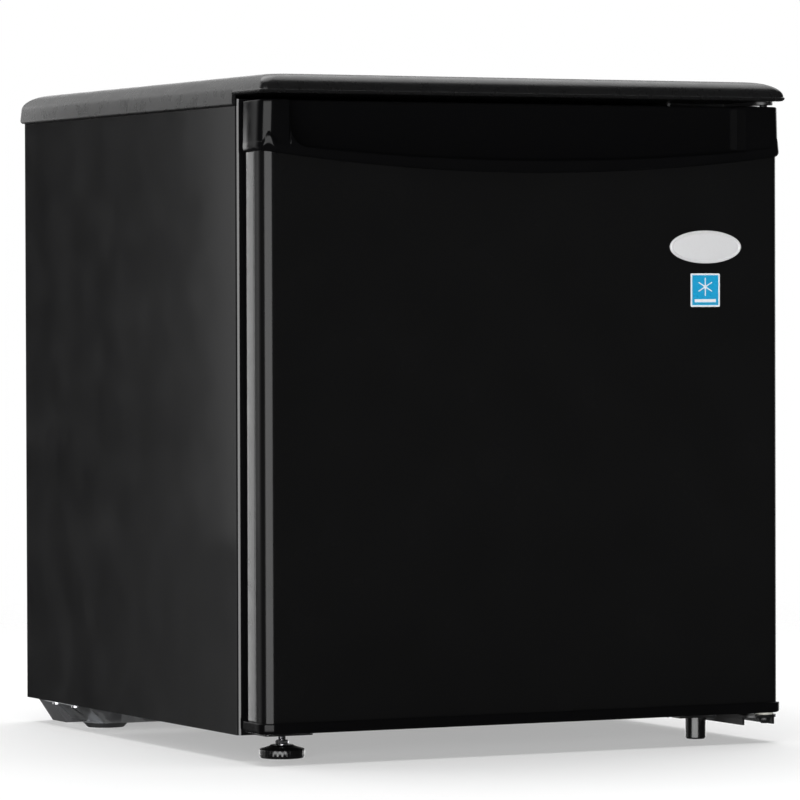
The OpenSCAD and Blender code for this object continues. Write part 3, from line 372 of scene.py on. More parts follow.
def label_material():
    """Blue printed film: white border, a six-armed snow star and a plain white bar below it."""
    blue, white = (0.01, 0.27, 0.49), (0.62, 0.65, 0.68)
    border_at, star_up, star_r, arm_w = 11.6 * MM, 2.6 * MM, 7 * MM, 1.3 * MM
    bar_down, bar_half_h, bar_half_w = 8.2 * MM, 1.2 * MM, 9.5 * MM
    s = Shade("label_print", blue, 0.3)
    mid = (label_low + label_high) / 2
    x = s.math("SUBTRACT", s.axis("X"), mid.x)
    z = s.math("SUBTRACT", s.axis("Z"), mid.z)
    reach = s.math("MAXIMUM", s.math("ABSOLUTE", x), s.math("ABSOLUTE", z))
    border = s.math("GREATER_THAN", reach, border_at)
    star_z = s.math("SUBTRACT", z, star_up)
    radius = s.math("SQRT", s.math("ADD", s.math("MULTIPLY", x, x), s.math("MULTIPLY", star_z, star_z)))
    arms = s.math("ABSOLUTE", s.math("SINE", s.math("MULTIPLY", s.math("ARCTAN2", x, star_z), 3.0)))
    arm = s.math("LESS_THAN", s.math("MULTIPLY", arms, radius), arm_w)
    star = s.math("MULTIPLY", arm, s.math("LESS_THAN", radius, star_r))
    bar_z = s.math("ABSOLUTE", s.math("ADD", z, bar_down))
    bar = s.math("MULTIPLY", s.math("LESS_THAN", bar_z, bar_half_h),
                 s.math("LESS_THAN", s.math("ABSOLUTE", x), bar_half_w))
    printed = s.math("MAXIMUM", border, s.math("MAXIMUM", star, bar))
    s.color_from(printed, blue, white)
    s.rough_from(s.noise(8 * MM, 3), 0.3, 0.7, 0.24, 0.38)
    s.bump(s.noise(4 * MM, 2), 0.02 * MM)
    return s


MATERIALS = {
    "cabinet_paint": enamel("cabinet_paint", (0.0035, 0.0035, 0.0038), 0.1, 0.0015, specular=0.4),
    "door_paint": enamel("door_paint", (0.0042, 0.0042, 0.0043), 0.16, 0.004, specular=0.16),
    "plain_black_steel": enamel("plain_black_steel", (0.006, 0.006, 0.0064), 0.4, 0.04),
    "galvanised_steel": galvanised_material(),
    "zinc_hardware": bright_metal("zinc_hardware", (0.62, 0.62, 0.64), 0.28),
    "worktop_plastic": worktop_material(),
    "black_plastic": moulded("black_plastic", (0.005, 0.005, 0.0053), 0.22, 0.8 * MM, 0.01),
    "gloss_black_plastic": moulded("gloss_black_plastic", (0.0024, 0.0024, 0.0026), 0.14, 2.5 * MM, 0.004,
                                   specular=0.1),
    "black_rubber": rubber("black_rubber", (0.0012, 0.0012, 0.0012), 0.75),
    "white_liner": liner_material(),
    "white_plastic": moulded("white_plastic", (0.8, 0.82, 0.83), 0.36, 0.9 * MM, 0.02),
    "clear_bin_plastic": clear_bin_material(),
    "nylon": moulded("nylon", (0.74, 0.72, 0.66), 0.45, 1.0 * MM, 0.02),
    "foam": foam_material(),
    "magnet_strip": rubber("magnet_strip", (0.045, 0.04, 0.036), 0.7),
    "white_wire": moulded("white_wire", (0.82, 0.84, 0.85), 0.3, 1.5 * MM, 0.04),
    "cold_plate": bright_metal("cold_plate", (0.78, 0.79, 0.8), 0.34, stretch=(0.05, 1, 1)),
    "copper": bright_metal("copper", (0.66, 0.33, 0.2), 0.3),
    "compressor_paint": enamel("compressor_paint", (0.012, 0.012, 0.013), 0.24, 0.09, peel_cell=2.4 * MM),
    "grey_plastic": moulded("grey_plastic", (0.07, 0.07, 0.073), 0.5, 0.9 * MM, 0.05),
    "badge_metal": badge_material(),
    "label_print": label_material(),
}


def paint_piece(piece, slot, body):
    """Gives a new piece its material, its slot and the body that it rides on."""
    piece.data.materials.clear()
    piece.data.materials.append(MATERIALS[slot].mat)
    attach(piece, body)
    return piece


# ---------------------------------------------------------------- the door's outline, seen from above

class Station:
    """One place along the door's outline: a point and the outward direction there."""

    def __init__(self, x, y, nx, ny):
        self.x, self.y, self.nx, self.ny = x, y, nx, ny

    def at(self, out, z):
        return (self.x + self.nx * out, self.y + self.ny * out, z)


def door_path(rear_y, front_xs, tuck=0.0):
    """Stations from the left rear edge round the front to the right one. tuck rolls the rear edges in."""
    flat_x, flat_y = HALF_W - DOOR_R, DOOR_FRONT + DOOR_R
    left = []
    for angle in span(0, 90, 4) if tuck else []:
        a = math.radians(90 - angle)
        left.append(Station(-HALF_W + tuck * (1 - math.cos(a)), rear_y - tuck * (1 - math.sin(a)),
                            -math.cos(a), math.sin(a)))
    left += [Station(-HALF_W, y, -1, 0) for y in span(rear_y - tuck, flat_y, 4)][1 if tuck else 0:-1]
    for a in span(180, 270, 12):
        c, s = math.cos(math.radians(a)), math.sin(math.radians(a))
        left.append(Station(-flat_x + DOOR_R * c, flat_y + DOOR_R * s, c, s))
    right = [Station(-s.x, s.y, -s.nx, s.ny) for s in reversed(left)]
    return left + [Station(x, DOOR_FRONT, 0, -1) for x in front_xs] + right


def lip_low_z(x):
    return LIP_LOW + LIP_RISE * (x / HALF_W) ** 2


def lip_rim_z(x):
    return LIP_LOW + LIP_H + RIM_RISE * (x / HALF_W) ** 2


# ---------------------------------------------------------------- door skin

def build_door_skin():
    """Folded sheet: flat front, round upright edges, rear edges tucked in behind the strips."""
    sheet, tuck, slack = 0.8 * MM, 1.2 * MM, 0.02 * MM
    path = door_path(skin_high.y, span(-HALF_W + DOOR_R, HALF_W - DOOR_R, 40)[1:-1], tuck)
    rings = []
    for s in path:
        top = lip_low_z(s.x) - slack
        outside = [s.at(0, z) for z in span(SKIN_BOTTOM, top, 12)]
        inside = [s.at(-sheet, z) for z in span(top, SKIN_BOTTOM, 12)]
        rings.append(outside + inside)
    piece = fix_normals(loft("door_skin_sheet", rings, tube=True, cap_start=True, cap_end=True))
    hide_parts("door_skin")
    return paint_piece(sharpen(piece), "door_paint", "door")


# ---------------------------------------------------------------- door cap with the recessed handle

EDGE_R = 1.6 * MM  # the cap's upper edge
HOOK_R = 15 * MM  # the recess's left end, where its lower edge curves up
WALL = 0.8 * MM  # the width in which a recess end goes from closed to open
LIP_STEP = 0.8 * MM  # the height in which the face drops back above the rim
LIP_ROUND = 2.1 * MM  # the open lip's top
POCKET_FRONT = 3 * MM  # the pocket's walls, behind the door's front
POCKET_BACK = 16 * MM
POCKET_R = 1.2 * MM
CORNER_PEAK = 8 * MM
REAR_LEAN, REAR_REACH = 1.3 * MM, 12 * MM  # the side leans in towards its rear edge
HAIR = 0.01 * MM


def recess_state(x):
    """The height of the recess's lower edge at x, and how open the recess is there, from 0 to 1."""
    near_left, near_right = x - RECESS_LEFT, RECESS_RIGHT - x
    inner = min(max(near_left, 0.0), HOOK_R)
    hook = HOOK_R - math.sqrt(HOOK_R ** 2 - (HOOK_R - inner) ** 2)
    return lip_rim_z(x) + hook, min(1.0, max(0.0, min(near_left, near_right) / WALL + 0.5))


def corner_peak(s):
    """How far the lip's rim rises where it runs round the door's upright edge."""
    if s.ny in (0, -1):
        return 0.0
    turned_by = math.degrees(math.atan2(-s.ny, abs(s.nx)))
    return CORNER_PEAK * smoothstep(1 - abs(turned_by - 65) / 28)


def lip_face(s, z, low, rim, out):
    """How far the cap stands out at height z: a full lip with a crisp rim, then the plainer face above it."""
    t = (z - low) / (rim - low)
    if t < 0.5:
        return out * (0.25 + 0.75 * math.sin(math.pi * t))
    if t < 1:
        return out * (1 - 0.1 * ((t - 0.5) / 0.5) ** 2)
    front = out * (0.9 - 0.6 * smoothstep((z - rim) / LIP_STEP))
    side = mix(0.8, 0.4, (z - rim) / (DOOR_TOP - rim)) * out
    return mix(side, front, min(0.0, s.ny) ** 2)


def cap_profile(s):
    """The cap's section at one station, from the lip's lower edge past the rim and the pocket to the top.

    It blends the closed section and the open one by how open the recess is there.
    """
    x = max(-HALF_W, min(HALF_W, s.x))
    low, rim = lip_low_z(x), lip_rim_z(x) + corner_peak(s)
    edge, is_open = recess_state(x) if s.ny == -1 else (lip_rim_z(x) + HOOK_R, 0.0)
    side_out = cap_high.x - HALF_W
    out = mix(side_out, LIP_OUT, abs(min(0.0, s.ny)) ** 2) - 0.1 * MM
    out -= REAR_LEAN * min(1.0, max(0.0, (s.y - DOOR_BACK) / REAR_REACH + 1))

    def face(z):
        return lip_face(s, z, low, rim, out)

    def blend(closed, opened):
        return mix(closed[0], opened[0], is_open), mix(closed[1], opened[1], is_open)

    points = [(-0.8 * MM, low), (face(low) - 0.3 * MM, low)]
    lip_zs = [mix(low, rim, t) for t in (0.05, 0.14, 0.25, 0.37, 0.5, 0.62, 0.74)]
    points += [(face(z), z) for z in lip_zs]
    shoulder = [mix(low, rim, 0.99)] + [rim + LIP_STEP * t for t in (0.1, 0.3, 0.5, 0.7, 0.9, 1.1)]
    lip_top = edge - LIP_ROUND
    for closed_z, t in zip(shoulder, span(0, 1, len(shoulder))[1:]):
        open_z = mix(lip_zs[-1], lip_top, t)
        points.append(blend((face(closed_z), closed_z), (face(min(open_z, rim - HAIR)), open_z)))

    front = face(min(lip_top, rim - HAIR))
    opened = [(front - LIP_ROUND * (1 - math.cos(a)), lip_top + LIP_ROUND * math.sin(a))
              for a in (math.radians(v) for v in (15, 30, 45, 60, 75, 90))]
    opened += [(-POCKET_FRONT + POCKET_R * (1 - math.sin(a)), edge - POCKET_R * (1 - math.cos(a)))
               for a in (math.radians(v) for v in (0, 30, 60, 90))]
    opened += [(-POCKET_FRONT, z) for z in span(edge - POCKET_R, POCKET_FLOOR + 3 * MM, 4)[1:]]
    opened += [(-POCKET_FRONT - 0.8 * MM, POCKET_FLOOR + 0.9 * MM), (-POCKET_FRONT - 3 * MM, POCKET_FLOOR),
               (-POCKET_BACK + 3 * MM, POCKET_FLOOR), (-POCKET_BACK + 0.8 * MM, POCKET_FLOOR + 0.9 * MM),
               (-POCKET_BACK, POCKET_FLOOR + 3 * MM), (-POCKET_BACK, rim - 12 * MM),
               (-POCKET_BACK + 1.5 * MM, rim - 7 * MM), (-POCKET_BACK + 4 * MM, rim - 3 * MM)]
    climb = span(shoulder[-1], shoulder[-1] + 1 * MM, len(opened))[1:]
    closed = [(face(z), z) for z in climb]

    wall_low, wall_high = climb[-1] + 1 * MM, DOOR_TOP - EDGE_R
    for t in span(0, 1, 9):
        z = mix(wall_low, wall_high, t)
        opened.append((-RECESS_D, mix(rim, wall_high, t)))
        closed.append((face(z), z))
    for a in (math.radians(v) for v in (22.5, 45, 67.5, 90)):
        down, back = EDGE_R * (1 - math.sin(a)), EDGE_R * (1 - math.cos(a))
        opened.append((-RECESS_D - back, DOOR_TOP - down))
        closed.append((face(wall_high) - back, DOOR_TOP - down))
    opened.append((-RECESS_D - 3 * MM, DOOR_TOP))
    closed.append((-8.5 * MM, DOOR_TOP))
    points += [blend(c, o) for c, o in zip(closed, opened)]
    return [s.at(d, z) for d, z in points]


def build_door_cap():
    """Moulded cap: sections run round the door, closest at the recess's ends, and faces close the rest."""
    flat = HALF_W - DOOR_R
    near_wall = [-0.9, -0.5, -0.45, 0.45, 0.5, 0.9]
    hook = [0.02, 0.05, 0.1, 0.16, 0.24, 0.33, 0.44, 0.56, 0.7, 0.85, 1.0]
    left_end = [RECESS_LEFT + WALL * t for t in near_wall] + [RECESS_LEFT + WALL + HOOK_R * t for t in hook]
    right_end = [RECESS_RIGHT - WALL * t for t in (0.9, 0.5, 0.45, -0.45, -0.5, -0.9)]
    xs = span(-flat, left_end[0], 5)[1:-1] + left_end + span(left_end[-1], right_end[0], 60)[1:-1]
    xs += right_end + span(right_end[-1], flat, 8)[1:-1]
    path = door_path(DOOR_BACK, xs)
    rings = [cap_profile(s) for s in path]
    count, last = len(rings[0]), len(rings) - 1
    cap = loft("door_cap_shell", rings)
    points = [tuple(v.co) for v in cap.data.vertices]
    faces = [tuple(p.vertices) for p in cap.data.polygons]
    bpy.data.objects.remove(cap)
    front = [i for i, s in enumerate(path) if s.ny == -1]
    rear = {}
    for i in front:
        rear[i] = len(points)
        points.append((path[i].x, DOOR_BACK, rings[i][0][2]))
    for a, b in zip(front, front[1:]):
        faces.append((a * count, b * count, rear[b], rear[a]))
    faces.append(tuple([i * count for i in range(0, front[0] + 1)] + [rear[front[0]]]))
    faces.append(tuple([i * count for i in range(front[-1], last + 1)] + [rear[front[-1]]]))
    faces.append(tuple(i * count + count - 1 for i in range(len(rings))))
    back = list(range(0, count)) + list(range(last * count + count - 1, last * count - 1, -1))
    faces.append(tuple(back + [rear[i] for i in reversed(front)]))
    piece = fix_normals(mesh_object("door_cap", points, faces))
    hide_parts("door_top_cap")
    return paint_piece(sharpen(piece, 40), "gloss_black_plastic", "door")


# ---------------------------------------------------------------- door bottom trim

def build_bottom_trim():
    """Moulded trim round the door's lower edge, rounded below."""
    low, high = trim_low.z, trim_high.z
    foot_r, top_r = 2.4 * MM, 0.8 * MM
    path = door_path(DOOR_BACK, span(-HALF_W + DOOR_R, HALF_W - DOOR_R, 30)[1:-1])
    rings = []
    for s in path:
        side_out, front_out = trim_high.x - HALF_W, DOOR_FRONT - trim_low.y
        out = mix(side_out, front_out, abs(min(0.0, s.ny)) ** 2)
        profile = [(-8 * MM, low), (out - foot_r - 2 * MM, low)]
        profile += [(out - foot_r + foot_r * math.sin(a), low + foot_r * (1 - math.cos(a)))
                    for a in (math.radians(v) for v in span(0, 90, 6))]
        profile += [(out, z) for z in span(low + foot_r, high - top_r, 3)[1:]]
        profile += [(out - top_r * (1 - math.cos(a)), high - top_r * (1 - math.sin(a)))
                    for a in (math.radians(v) for v in (30, 60, 90))]
        profile += [(-1 * MM, high), (-8 * MM, high)]
        rings.append([s.at(d, z) for d, z in profile])
    count, last = len(rings[0]), len(rings) - 1
    bottom = tuple(i * count for i in range(len(rings)))
    top = tuple(i * count + count - 1 for i in reversed(range(len(rings))))
    back = tuple(list(range(count)) + list(range(last * count + count - 1, last * count - 1, -1)))
    piece = fix_normals(loft("door_trim", rings, more_faces=[bottom, top, back]))
    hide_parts("door_bottom_trim")
    return paint_piece(sharpen(piece, 40), "gloss_black_plastic", "door")


# ---------------------------------------------------------------- worktop

def worktop_ring(half_x, half_y, r, z_at, side_ys):
    """Points round a rectangle with round corners, from the right rear; z_at(y) gives their height."""
    flat = []
    for cx, cy, start in ((1, 1, 0), (-1, 1, 90), (-1, -1, 180), (1, -1, 270)):
        for a in span(start, start + 90, 12):
            c, s = math.cos(math.radians(a)), math.sin(math.radians(a))
            flat.append((cx * (half_x - r) + r * c, cy * (half_y - r) + r * s))
        if (cx, cy) == (-1, 1):
            flat += [(-half_x, y) for y in sorted(side_ys, reverse=True)]
        if (cx, cy) == (1, -1):
            flat += [(half_x, y) for y in sorted(side_ys)]
    return [(x, y, z_at(y)) for x, y in flat]


def build_worktop():
    """Moulded slab: an elliptical upper edge and a short skirt, deeper along the cabinet, hollow below."""
    top, skirt = cover_high.z, cover_low.z
    front_low = CAB_TOP + 2.7 * MM
    across, down, draft, lip_r, corner_r = 20 * MM, 12 * MM, 0.7 * MM, 2.6 * MM, 5 * MM
    slack = 0.4 * MM
    side_ys = [-0.1, 0.0, 0.1] + [CAB_FRONT + step * MM for step in (-0.3, -0.1, 0.1, 0.3)]

    def low(y):
        return front_low if y < CAB_FRONT else skirt

    def ring(inset, z_at):
        return worktop_ring(cover_high.x - inset, cover_high.y - inset, corner_r + inset / 2, z_at, side_ys)

    rings = []
    for angle in (90, 84, 77, 70, 62, 54, 46, 38, 30, 22, 14, 7, 0):
        a = math.radians(angle)
        inset, height = draft + (across - draft) * (1 - math.cos(a)), top - down * (1 - math.sin(a))
        rings.append(ring(inset, lambda y: height))
    for angle in (0, 30, 60, 90):
        a = math.radians(angle)
        rings.append(ring(lip_r * (1 - math.cos(a)), lambda y: low(y) + lip_r * (1 - math.sin(a))))
    inner = (HALF_W + slack, wrap_high.y + slack, 2 * MM)
    rings += [worktop_ring(*inner, low, side_ys), worktop_ring(*inner, lambda y: front_low, side_ys)]
    piece = fix_normals(loft("worktop_moulding", rings, tube=True, cap_start=True, cap_end=True))
    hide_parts("top_cover")
    return paint_piece(sharpen(piece, 40), "worktop_plastic", "cabinet")


# ---------------------------------------------------------------- gasket

def build_gasket():
    """Bellows gasket: a foot on the door, a thin fold, and a soft magnet pocket that meets the cabinet."""
    width = 14 * MM
    y0, y1 = gasket_low.y, gasket_high.y
    half, z0, z1, r = gasket_high.x, gasket_low.z, gasket_high.z, 6 * MM
    section = [(0.4, 0.0), (0.0, 0.5), (0.0, 2.0), (0.6, 2.6), (3.2, 3.3), (3.6, 4.2), (3.2, 5.2), (0.8, 6.2),
               (0.0, 7.2), (0.0, 9.5), (0.3, 11.6), (1.3, 13.1), (3.0, 13.85), (5.0, 14.1)]
    stretch = (y1 - y0) / section[-1][1]
    outline = [(-o * MM, y0 + y * stretch) for o, y in section]
    outline += [(-width - o, y) for o, y in reversed(outline)]
    rings = []
    for cx, cz, start in ((1, 1, 0), (-1, 1, 90), (-1, -1, 180), (1, -1, 270)):
        mid_x, mid_z = cx * (half - r), (z1 - r if cz > 0 else z0 + r)
        for angle in span(start, start + 90, 8):
            c, s = math.cos(math.radians(angle)), math.sin(math.radians(angle))
            ring = []
            for o, y in outline:
                reach = r + o
                across, up = (c, s) if reach > 0 else (cx, cz)
                ring.append((mid_x + reach * across, y, mid_z + reach * up))
            rings.append(ring)
    piece = fix_normals(loft("gasket_bellows", rings, loop=True, tube=True))
    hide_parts("door_gasket")
    return paint_piece(sharpen(piece, 60), "black_rubber", "door")


# ---------------------------------------------------------------- badge, foot and knob marks

def build_badge():
    """Blank oval plate: a rolled rim, a fine groove and a slightly domed field."""
    mid = (badge_low + badge_high) / 2
    half_x, half_z = (badge_high.x - badge_low.x) / 2, (badge_high.z - badge_low.z) / 2
    face, back = badge_low.y, DOOR_FRONT - 0.02 * MM
    section = [(0.0, 0.7), (0.12, 0.4), (0.4, 0.15), (0.8, 0.02), (1.3, 0.0), (1.7, 0.08), (1.9, 0.3),
               (2.2, 0.42), (2.5, 0.42), (2.9, 0.38), (4.0, 0.3), (6.0, 0.2), (9.0, 0.1), (12.0, 0.05)]
    steps = 96
    rings = []
    for inset, y in [(0.0, back)] + [(inset * MM, face + depth * MM) for inset, depth in section]:
        ring = []
        for step in range(steps):
            a = 2 * math.pi * step / steps
            ring.append((mid.x + (half_x - inset) * math.cos(a), y, mid.z + (half_z - inset) * math.sin(a)))
        rings.append(ring)
    piece = fix_normals(loft("badge_plate", rings, tube=True, cap_start=True, cap_end=True))
    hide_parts("oval_badge")
    return paint_piece(sharpen(piece, 50), "badge_metal", "door")


def turned(name, profile, centre, steps=64, radius_change=None):
    """A shape turned about a vertical axis through centre from (radius, z) pairs."""
    rings = []
    for r, z in profile:
        ring = []
        for i in range(steps):
            a = 2 * math.pi * i / steps
            change = radius_change(a, r, z) if radius_change else 0
            ring.append((centre.x + (r + change) * math.cos(a), centre.y + (r + change) * math.sin(a), z))
        rings.append(ring)
    return fix_normals(loft(name, rings, tube=True, cap_start=True, cap_end=True))


def build_levelling_foot():
    """Ribbed pad with a hub, and the threaded stem with its hexagon."""
    centre = (pad_low + pad_high) / 2
    radius, top = (pad_high.x - pad_low.x) / 2, pad_high.z
    rim = [(3, 0), (1.2, 0), (0.6, 0.5), (0.5, 1.2), (0, 2.0), (0, 5.8), (0.3, 6.5), (1.0, 7.0)]
    profile = [(radius - inset * MM, z * MM) for inset, z in rim]
    profile += [(11 * MM, 8.6 * MM), (9.4 * MM, 9.2 * MM), (9.0 * MM, top - 0.3 * MM), (8.6 * MM, top),
                (4.9 * MM, top), (4.6 * MM, top - 0.3 * MM), (4.6 * MM, 5 * MM)]
    rib_count, rib_depth = 30, 0.12 * MM

    def ribs(a, r, z):
        on_rim = r > radius - 1 * MM and 1.5 * MM < z < 6 * MM
        return -rib_depth if on_rim and math.cos(a * rib_count) > 0.2 else 0.0

    pad = turned("foot_pad_ribbed", profile, centre, 240, ribs)
    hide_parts("levelling_foot_pad")
    paint_piece(sharpen(pad, 30), "black_plastic", "foot_pad")

    stem_r, pitch, depth = 3 * MM, 1 * MM, 0.34 * MM
    hex_low, hex_high = 10.4 * MM, 13.4 * MM

    def thread(a, r, z):
        if r < stem_r - 0.01 * MM or z < hex_high or z > stem_high.z - 1 * MM:
            return 0.0
        phase = (z / pitch - a / (2 * math.pi)) % 1
        return -depth * abs(2 * phase - 1)

    def flats(a, r, z):
        return r * (math.cos(math.pi / 6) / math.cos((a % (math.pi / 3)) - math.pi / 6) - 1)

    rod = [(2.2 * MM, 4.1 * MM), (4.3 * MM, 4.3 * MM), (4.4 * MM, 5.8 * MM), (3.4 * MM, 6.2 * MM),
           (stem_r, 6.6 * MM)]
    rod += [(stem_r, z) for z in span(7 * MM, stem_high.z - 0.8 * MM, 280)] + [(2.3 * MM, stem_high.z)]
    stem = turned("foot_stem_threaded", rod, centre, 40, thread)
    collar = turned("foot_stem_hexagon", [(4.6 * MM, hex_low), (5.4 * MM, hex_low + 0.5 * MM),
                    (5.55 * MM, hex_low + 0.9 * MM), (5.55 * MM, hex_high - 0.9 * MM),
                    (5.4 * MM, hex_high - 0.5 * MM), (4.6 * MM, hex_high)], centre, 48, flats)
    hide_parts("levelling_foot_stem")
    for piece in (stem, collar):
        paint_piece(sharpen(piece, 32), "zinc_hardware", "foot_stem")


def build_knob_marks():
    """Raised ticks round the thermostat knob, longer towards the cold end."""
    centre = (knob_low + knob_high) / 2
    face_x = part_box("thermostat_housing")[0].x
    marks, turn = 8, 290
    points, faces = [], []
    for i in range(marks):
        a = math.radians(90 - i * turn / (marks - 1))
        half, start, end = 0.4 * MM, 16.8 * MM, (17.8 + 0.2 * i) * MM
        along, side = Vector((0, math.cos(a), math.sin(a))), Vector((0, -math.sin(a), math.cos(a)))
        base = len(points)
        for height in (0.0, 0.35 * MM):
            for reach, shift in ((start, -half), (end, -half), (end, half), (start, half)):
                p = Vector((face_x - height, centre.y, centre.z)) + along * reach + side * shift
                points.append(tuple(p))
        for quad in ((0, 1, 2, 3), (7, 6, 5, 4), (0, 4, 5, 1), (1, 5, 6, 2), (2, 6, 7, 3), (3, 7, 4, 0)):
            faces.append(tuple(base + q for q in quad))
    piece = fix_normals(mesh_object("thermostat_marks", points, faces, smooth=False))
    return paint_piece(piece, "grey_plastic", "cabinet")


# ---------------------------------------------------------------- CAD nodes that stay

def dress(node, slot, width):
    """Gives a CAD node its material and, where width isn't 0, small rounded edges."""
    piece = frame["nodes"][node]
    piece.data.materials.clear()
    piece.data.materials.append(MATERIALS[slot].mat)
    custom = piece.data.attributes.get("custom_normal")
    if custom:
        piece.data.attributes.remove(custom)
    piece.data.polygons.foreach_set("use_smooth", [True] * len(piece.data.polygons))
    weld = piece.modifiers.new("weld", "WELD")
    weld.merge_threshold = 0.002 * MM
    if width:
        flat = piece.modifiers.new("merge_flats", "DECIMATE")
        flat.decimate_type = "DISSOLVE"
        flat.angle_limit = math.radians(0.5)
        bevel = piece.modifiers.new("soft_edges", "BEVEL")
        bevel.width = width
        bevel.segments = 2
        bevel.limit_method = "ANGLE"
        bevel.angle_limit = math.radians(30)
        bevel.use_clamp_overlap = True
        bevel.miter_outer = "MITER_ARC"
    weights = piece.modifiers.new("even_shading", "WEIGHTED_NORMAL")
    weights.keep_sharp = True
    return piece


# Widths of the rounded edges, in millimetres
SOFT_EDGES = {
    "cabinet_wrapper": 0.25, "rear_panel": 0.2, "bottom_panel": 0.25, "compressor_tray": 0.3,
    "rear_feet": 0.8, "compressor_base": 0.5, "relay_cover": 0.3, "door_side_strips": 0.6, "door_liner": 0.5,
    "upper_door_bin": 0.5, "lower_door_bin": 0.5, "drip_trough": 0.4, "evaporation_pan": 0.4,
    "thermostat_housing": 0.4, "thermostat_knob": 0.6, "thermostat_switch": 0.3, "lower_hinge_bracket": 0.35,
    "upper_hinge_plate": 0.15, "foot_nut_plate": 0.3, "hinge_side_leg": 0.5, "cover_screws": 0.1,
    "rear_screws": 0.15, "underside_screws": 0.15, "thermostat_shaft": 0.15, "upper_hinge_screws": 0.15,
    "compressor_bolts": 0.25, "compressor_grommets": 0.5, "evaporator_spacers": 0.3, "hinge_washer": 0.2,
    "cord_gland": 0.4, "harness_cable": 0.5,
}

# Nodes that finer pieces stand for
REPLACED = {"door_skin", "door_top_cap", "door_bottom_trim", "top_cover", "door_gasket", "oval_badge",
            "levelling_foot_pad", "levelling_foot_stem"}


def dress_all():
    """Dresses every CAD node that stays, with the slot that the frame's record gives it."""
    slots = {row["node"]: row["material_slot"] for row in frame["record"]["subparts"]}
    for node in frame["nodes"]:
        if node not in REPLACED:
            dress(node, slots[node], SOFT_EDGES.get(node, 0) * MM)


# ---------------------------------------------------------------- floor, light and camera

def area_light(name, place, target, size, watts):
    """A soft rectangular light at place that points at target."""
    data = bpy.data.lights.new(name, "AREA")
    data.shape = "RECTANGLE"
    data.size, data.size_y = size
    data.energy = watts
    lamp = bpy.data.objects.new(name, data)
    lamp.location = place
    lamp.rotation_euler = (Vector(target) - Vector(place)).to_track_quat("-Z", "Y").to_euler()
    bpy.context.scene.collection.objects.link(lamp)
    return lamp


def build_floor():
    """A pale, faintly glowing table top that fades out into the white backdrop."""
    half = 3.0
    floor = mesh_object("floor", [(-half, -half, 0), (half, -half, 0), (half, half, 0), (-half, half, 0)],
                        [(0, 1, 2, 3)])
    s = Shade("studio_floor", (0.62, 0.62, 0.62), 0.6, specular=0.0)
    s.color_from(s.noise(400 * MM, 3), (0.61, 0.61, 0.61), (0.63, 0.63, 0.63))
    s.set("Emission Color", (1, 1, 1, 1)).set("Emission Strength", 0.38)
    x, y = s.axis("X"), s.axis("Y")
    radius = s.math("SQRT", s.math("ADD", s.math("MULTIPLY", x, x), s.math("MULTIPLY", y, y)))
    s.link(s.remap(radius, 0.7, 1.8, 1, 0), "Alpha")
    floor.data.materials.append(s.mat)
    floor.visible_glossy = False


# Upright screens, in degrees: azimuth from +X, half width, softness, elevation, half height, softness; and
# their brightness
STUDIO_SCREENS = {
    "front_screen": (233, 33, 3, 2, 12, 5, 7.5),
    "backdrop": (60, 46, 2, 0, 12, 6, 2.4),
    "rear_wall": (115, 35, 22, 28, 16, 10, 1.0),
    "side_card": (133, 18, 3, 8, 40, 10, 0.45),
}
# The bright part of the ceiling, in degrees: azimuth and elevation of its middle, reach, softness; and its
# brightness
STUDIO_CEILING = (60, 52, 28, 4, 1.6)
# The brightness of the rest of the room
STUDIO_DIM = 0.03


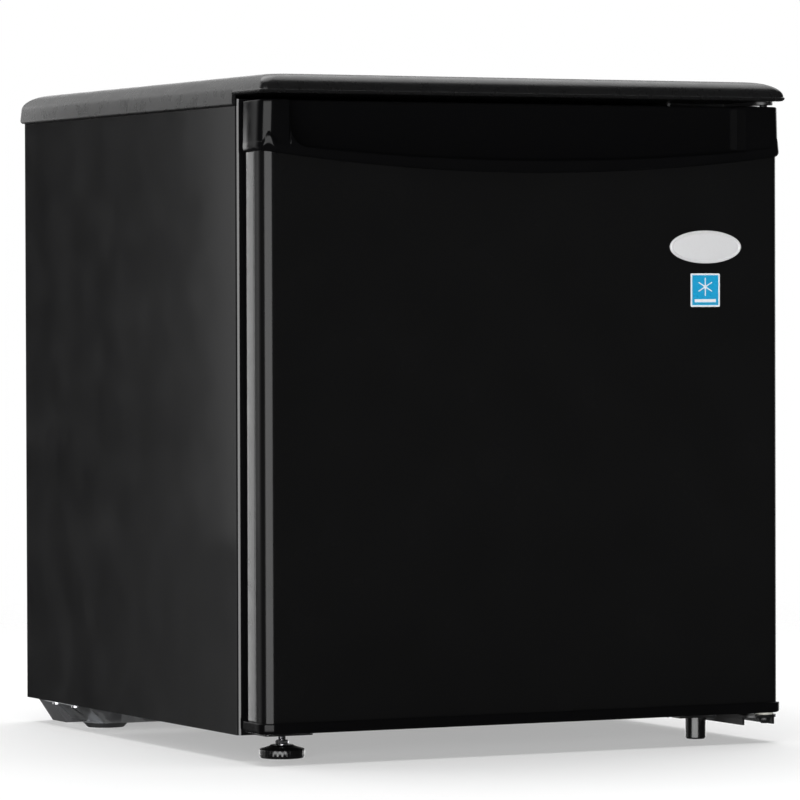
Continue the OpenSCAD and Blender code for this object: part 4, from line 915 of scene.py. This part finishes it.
def build_world():
    """White to the camera; to everything else a dim room with soft glowing screens."""
    world = bpy.data.worlds.new("studio")
    bpy.context.scene.world = world
    world.use_nodes = True
    nodes, links = world.node_tree.nodes, world.node_tree.links

    def calc(kind, *values):
        node = nodes.new("ShaderNodeMath")
        node.operation = kind
        for i, value in enumerate(values):
            if hasattr(value, "node"):
                links.new(value, node.inputs[i])
            else:
                node.inputs[i].default_value = value
        return node.outputs["Value"]

    def fade(value, reach, softness):
        node = nodes.new("ShaderNodeMapRange")
        node.interpolation_type = "SMOOTHSTEP"
        links.new(value, node.inputs["Value"])
        node.inputs["From Min"].default_value = math.radians(reach - softness)
        node.inputs["From Max"].default_value = math.radians(reach + softness)
        node.inputs["To Min"].default_value = 1
        node.inputs["To Max"].default_value = 0
        return node.outputs["Result"]

    direction = nodes.new("ShaderNodeSeparateXYZ")
    links.new(nodes.new("ShaderNodeTexCoord").outputs["Generated"], direction.inputs["Vector"])
    x, y, z = (direction.outputs[name] for name in "XYZ")
    elevation = calc("ARCSINE", z)
    glow = STUDIO_DIM
    for azimuth, width, soft_x, height, tall, soft_z, brightness in STUDIO_SCREENS.values():
        c, s = math.cos(math.radians(azimuth)), math.sin(math.radians(azimuth))
        ahead = calc("ADD", calc("MULTIPLY", x, c), calc("MULTIPLY", y, s))
        aside = calc("SUBTRACT", calc("MULTIPLY", y, c), calc("MULTIPLY", x, s))
        sideways = fade(calc("ABSOLUTE", calc("ARCTAN2", aside, ahead)), width, soft_x)
        upright = fade(calc("ABSOLUTE", calc("SUBTRACT", elevation, math.radians(height))), tall, soft_z)
        glow = calc("ADD", calc("MULTIPLY", calc("MULTIPLY", sideways, upright), brightness), glow)
    azimuth, height, reach, softness, brightness = STUDIO_CEILING
    a, e = math.radians(azimuth), math.radians(height)
    middle = (math.cos(a) * math.cos(e), math.sin(a) * math.cos(e), math.sin(e))
    along = calc("ADD", calc("ADD", calc("MULTIPLY", x, middle[0]), calc("MULTIPLY", y, middle[1])),
                 calc("MULTIPLY", z, middle[2]))
    ceiling = fade(calc("ARCCOSINE", along), reach, softness)
    glow = calc("ADD", calc("MULTIPLY", ceiling, brightness), glow)
    seen = nodes.new("ShaderNodeLightPath").outputs["Is Camera Ray"]
    strength = calc("MAXIMUM", seen, calc("MULTIPLY", glow, calc("SUBTRACT", 1.0, seen)))
    links.new(strength, nodes["Background"].inputs["Strength"])
    nodes["Background"].inputs["Color"].default_value = (1, 1, 1, 1)


def build_lights():
    """A faint light along the left side, and a large one overhead that reflections don't show."""
    area_light("side_softbox", (-0.91, 0.8, 0.5), (-0.22, -0.1, 0.3), (0.5, 0.8), 0.4)
    top = area_light("top_softbox", (0.0, -0.1, 2.6), (0, 0, 0.27), (2.4, 2.4), 60)
    top.visible_glossy = False


def build_camera():
    """A long lens, low and far away, to the left of the door."""
    data = bpy.data.cameras.new("camera")
    data.sensor_width = 36
    data.lens = 226.2
    data.clip_end = 100
    camera = bpy.data.objects.new("camera", data)
    turn, down, roll = math.radians(26.28), math.radians(1.131), math.radians(-0.18)
    camera.location = (-1.786, -3.630, 0.347)
    facing = Matrix.Rotation(-turn, 4, "Z") @ Matrix.Rotation(math.radians(90) - down, 4, "X")
    camera.rotation_euler = (facing @ Matrix.Rotation(roll, 4, "Z")).to_euler()
    bpy.context.scene.collection.objects.link(camera)
    bpy.context.scene.camera = camera


build_camera()
build_door_skin()
build_door_cap()
build_bottom_trim()
build_worktop()
build_gasket()
build_badge()
build_levelling_foot()
build_knob_marks()
dress_all()
build_floor()
build_world()
build_lights()
bpy.context.scene.view_settings.view_transform = "Standard"
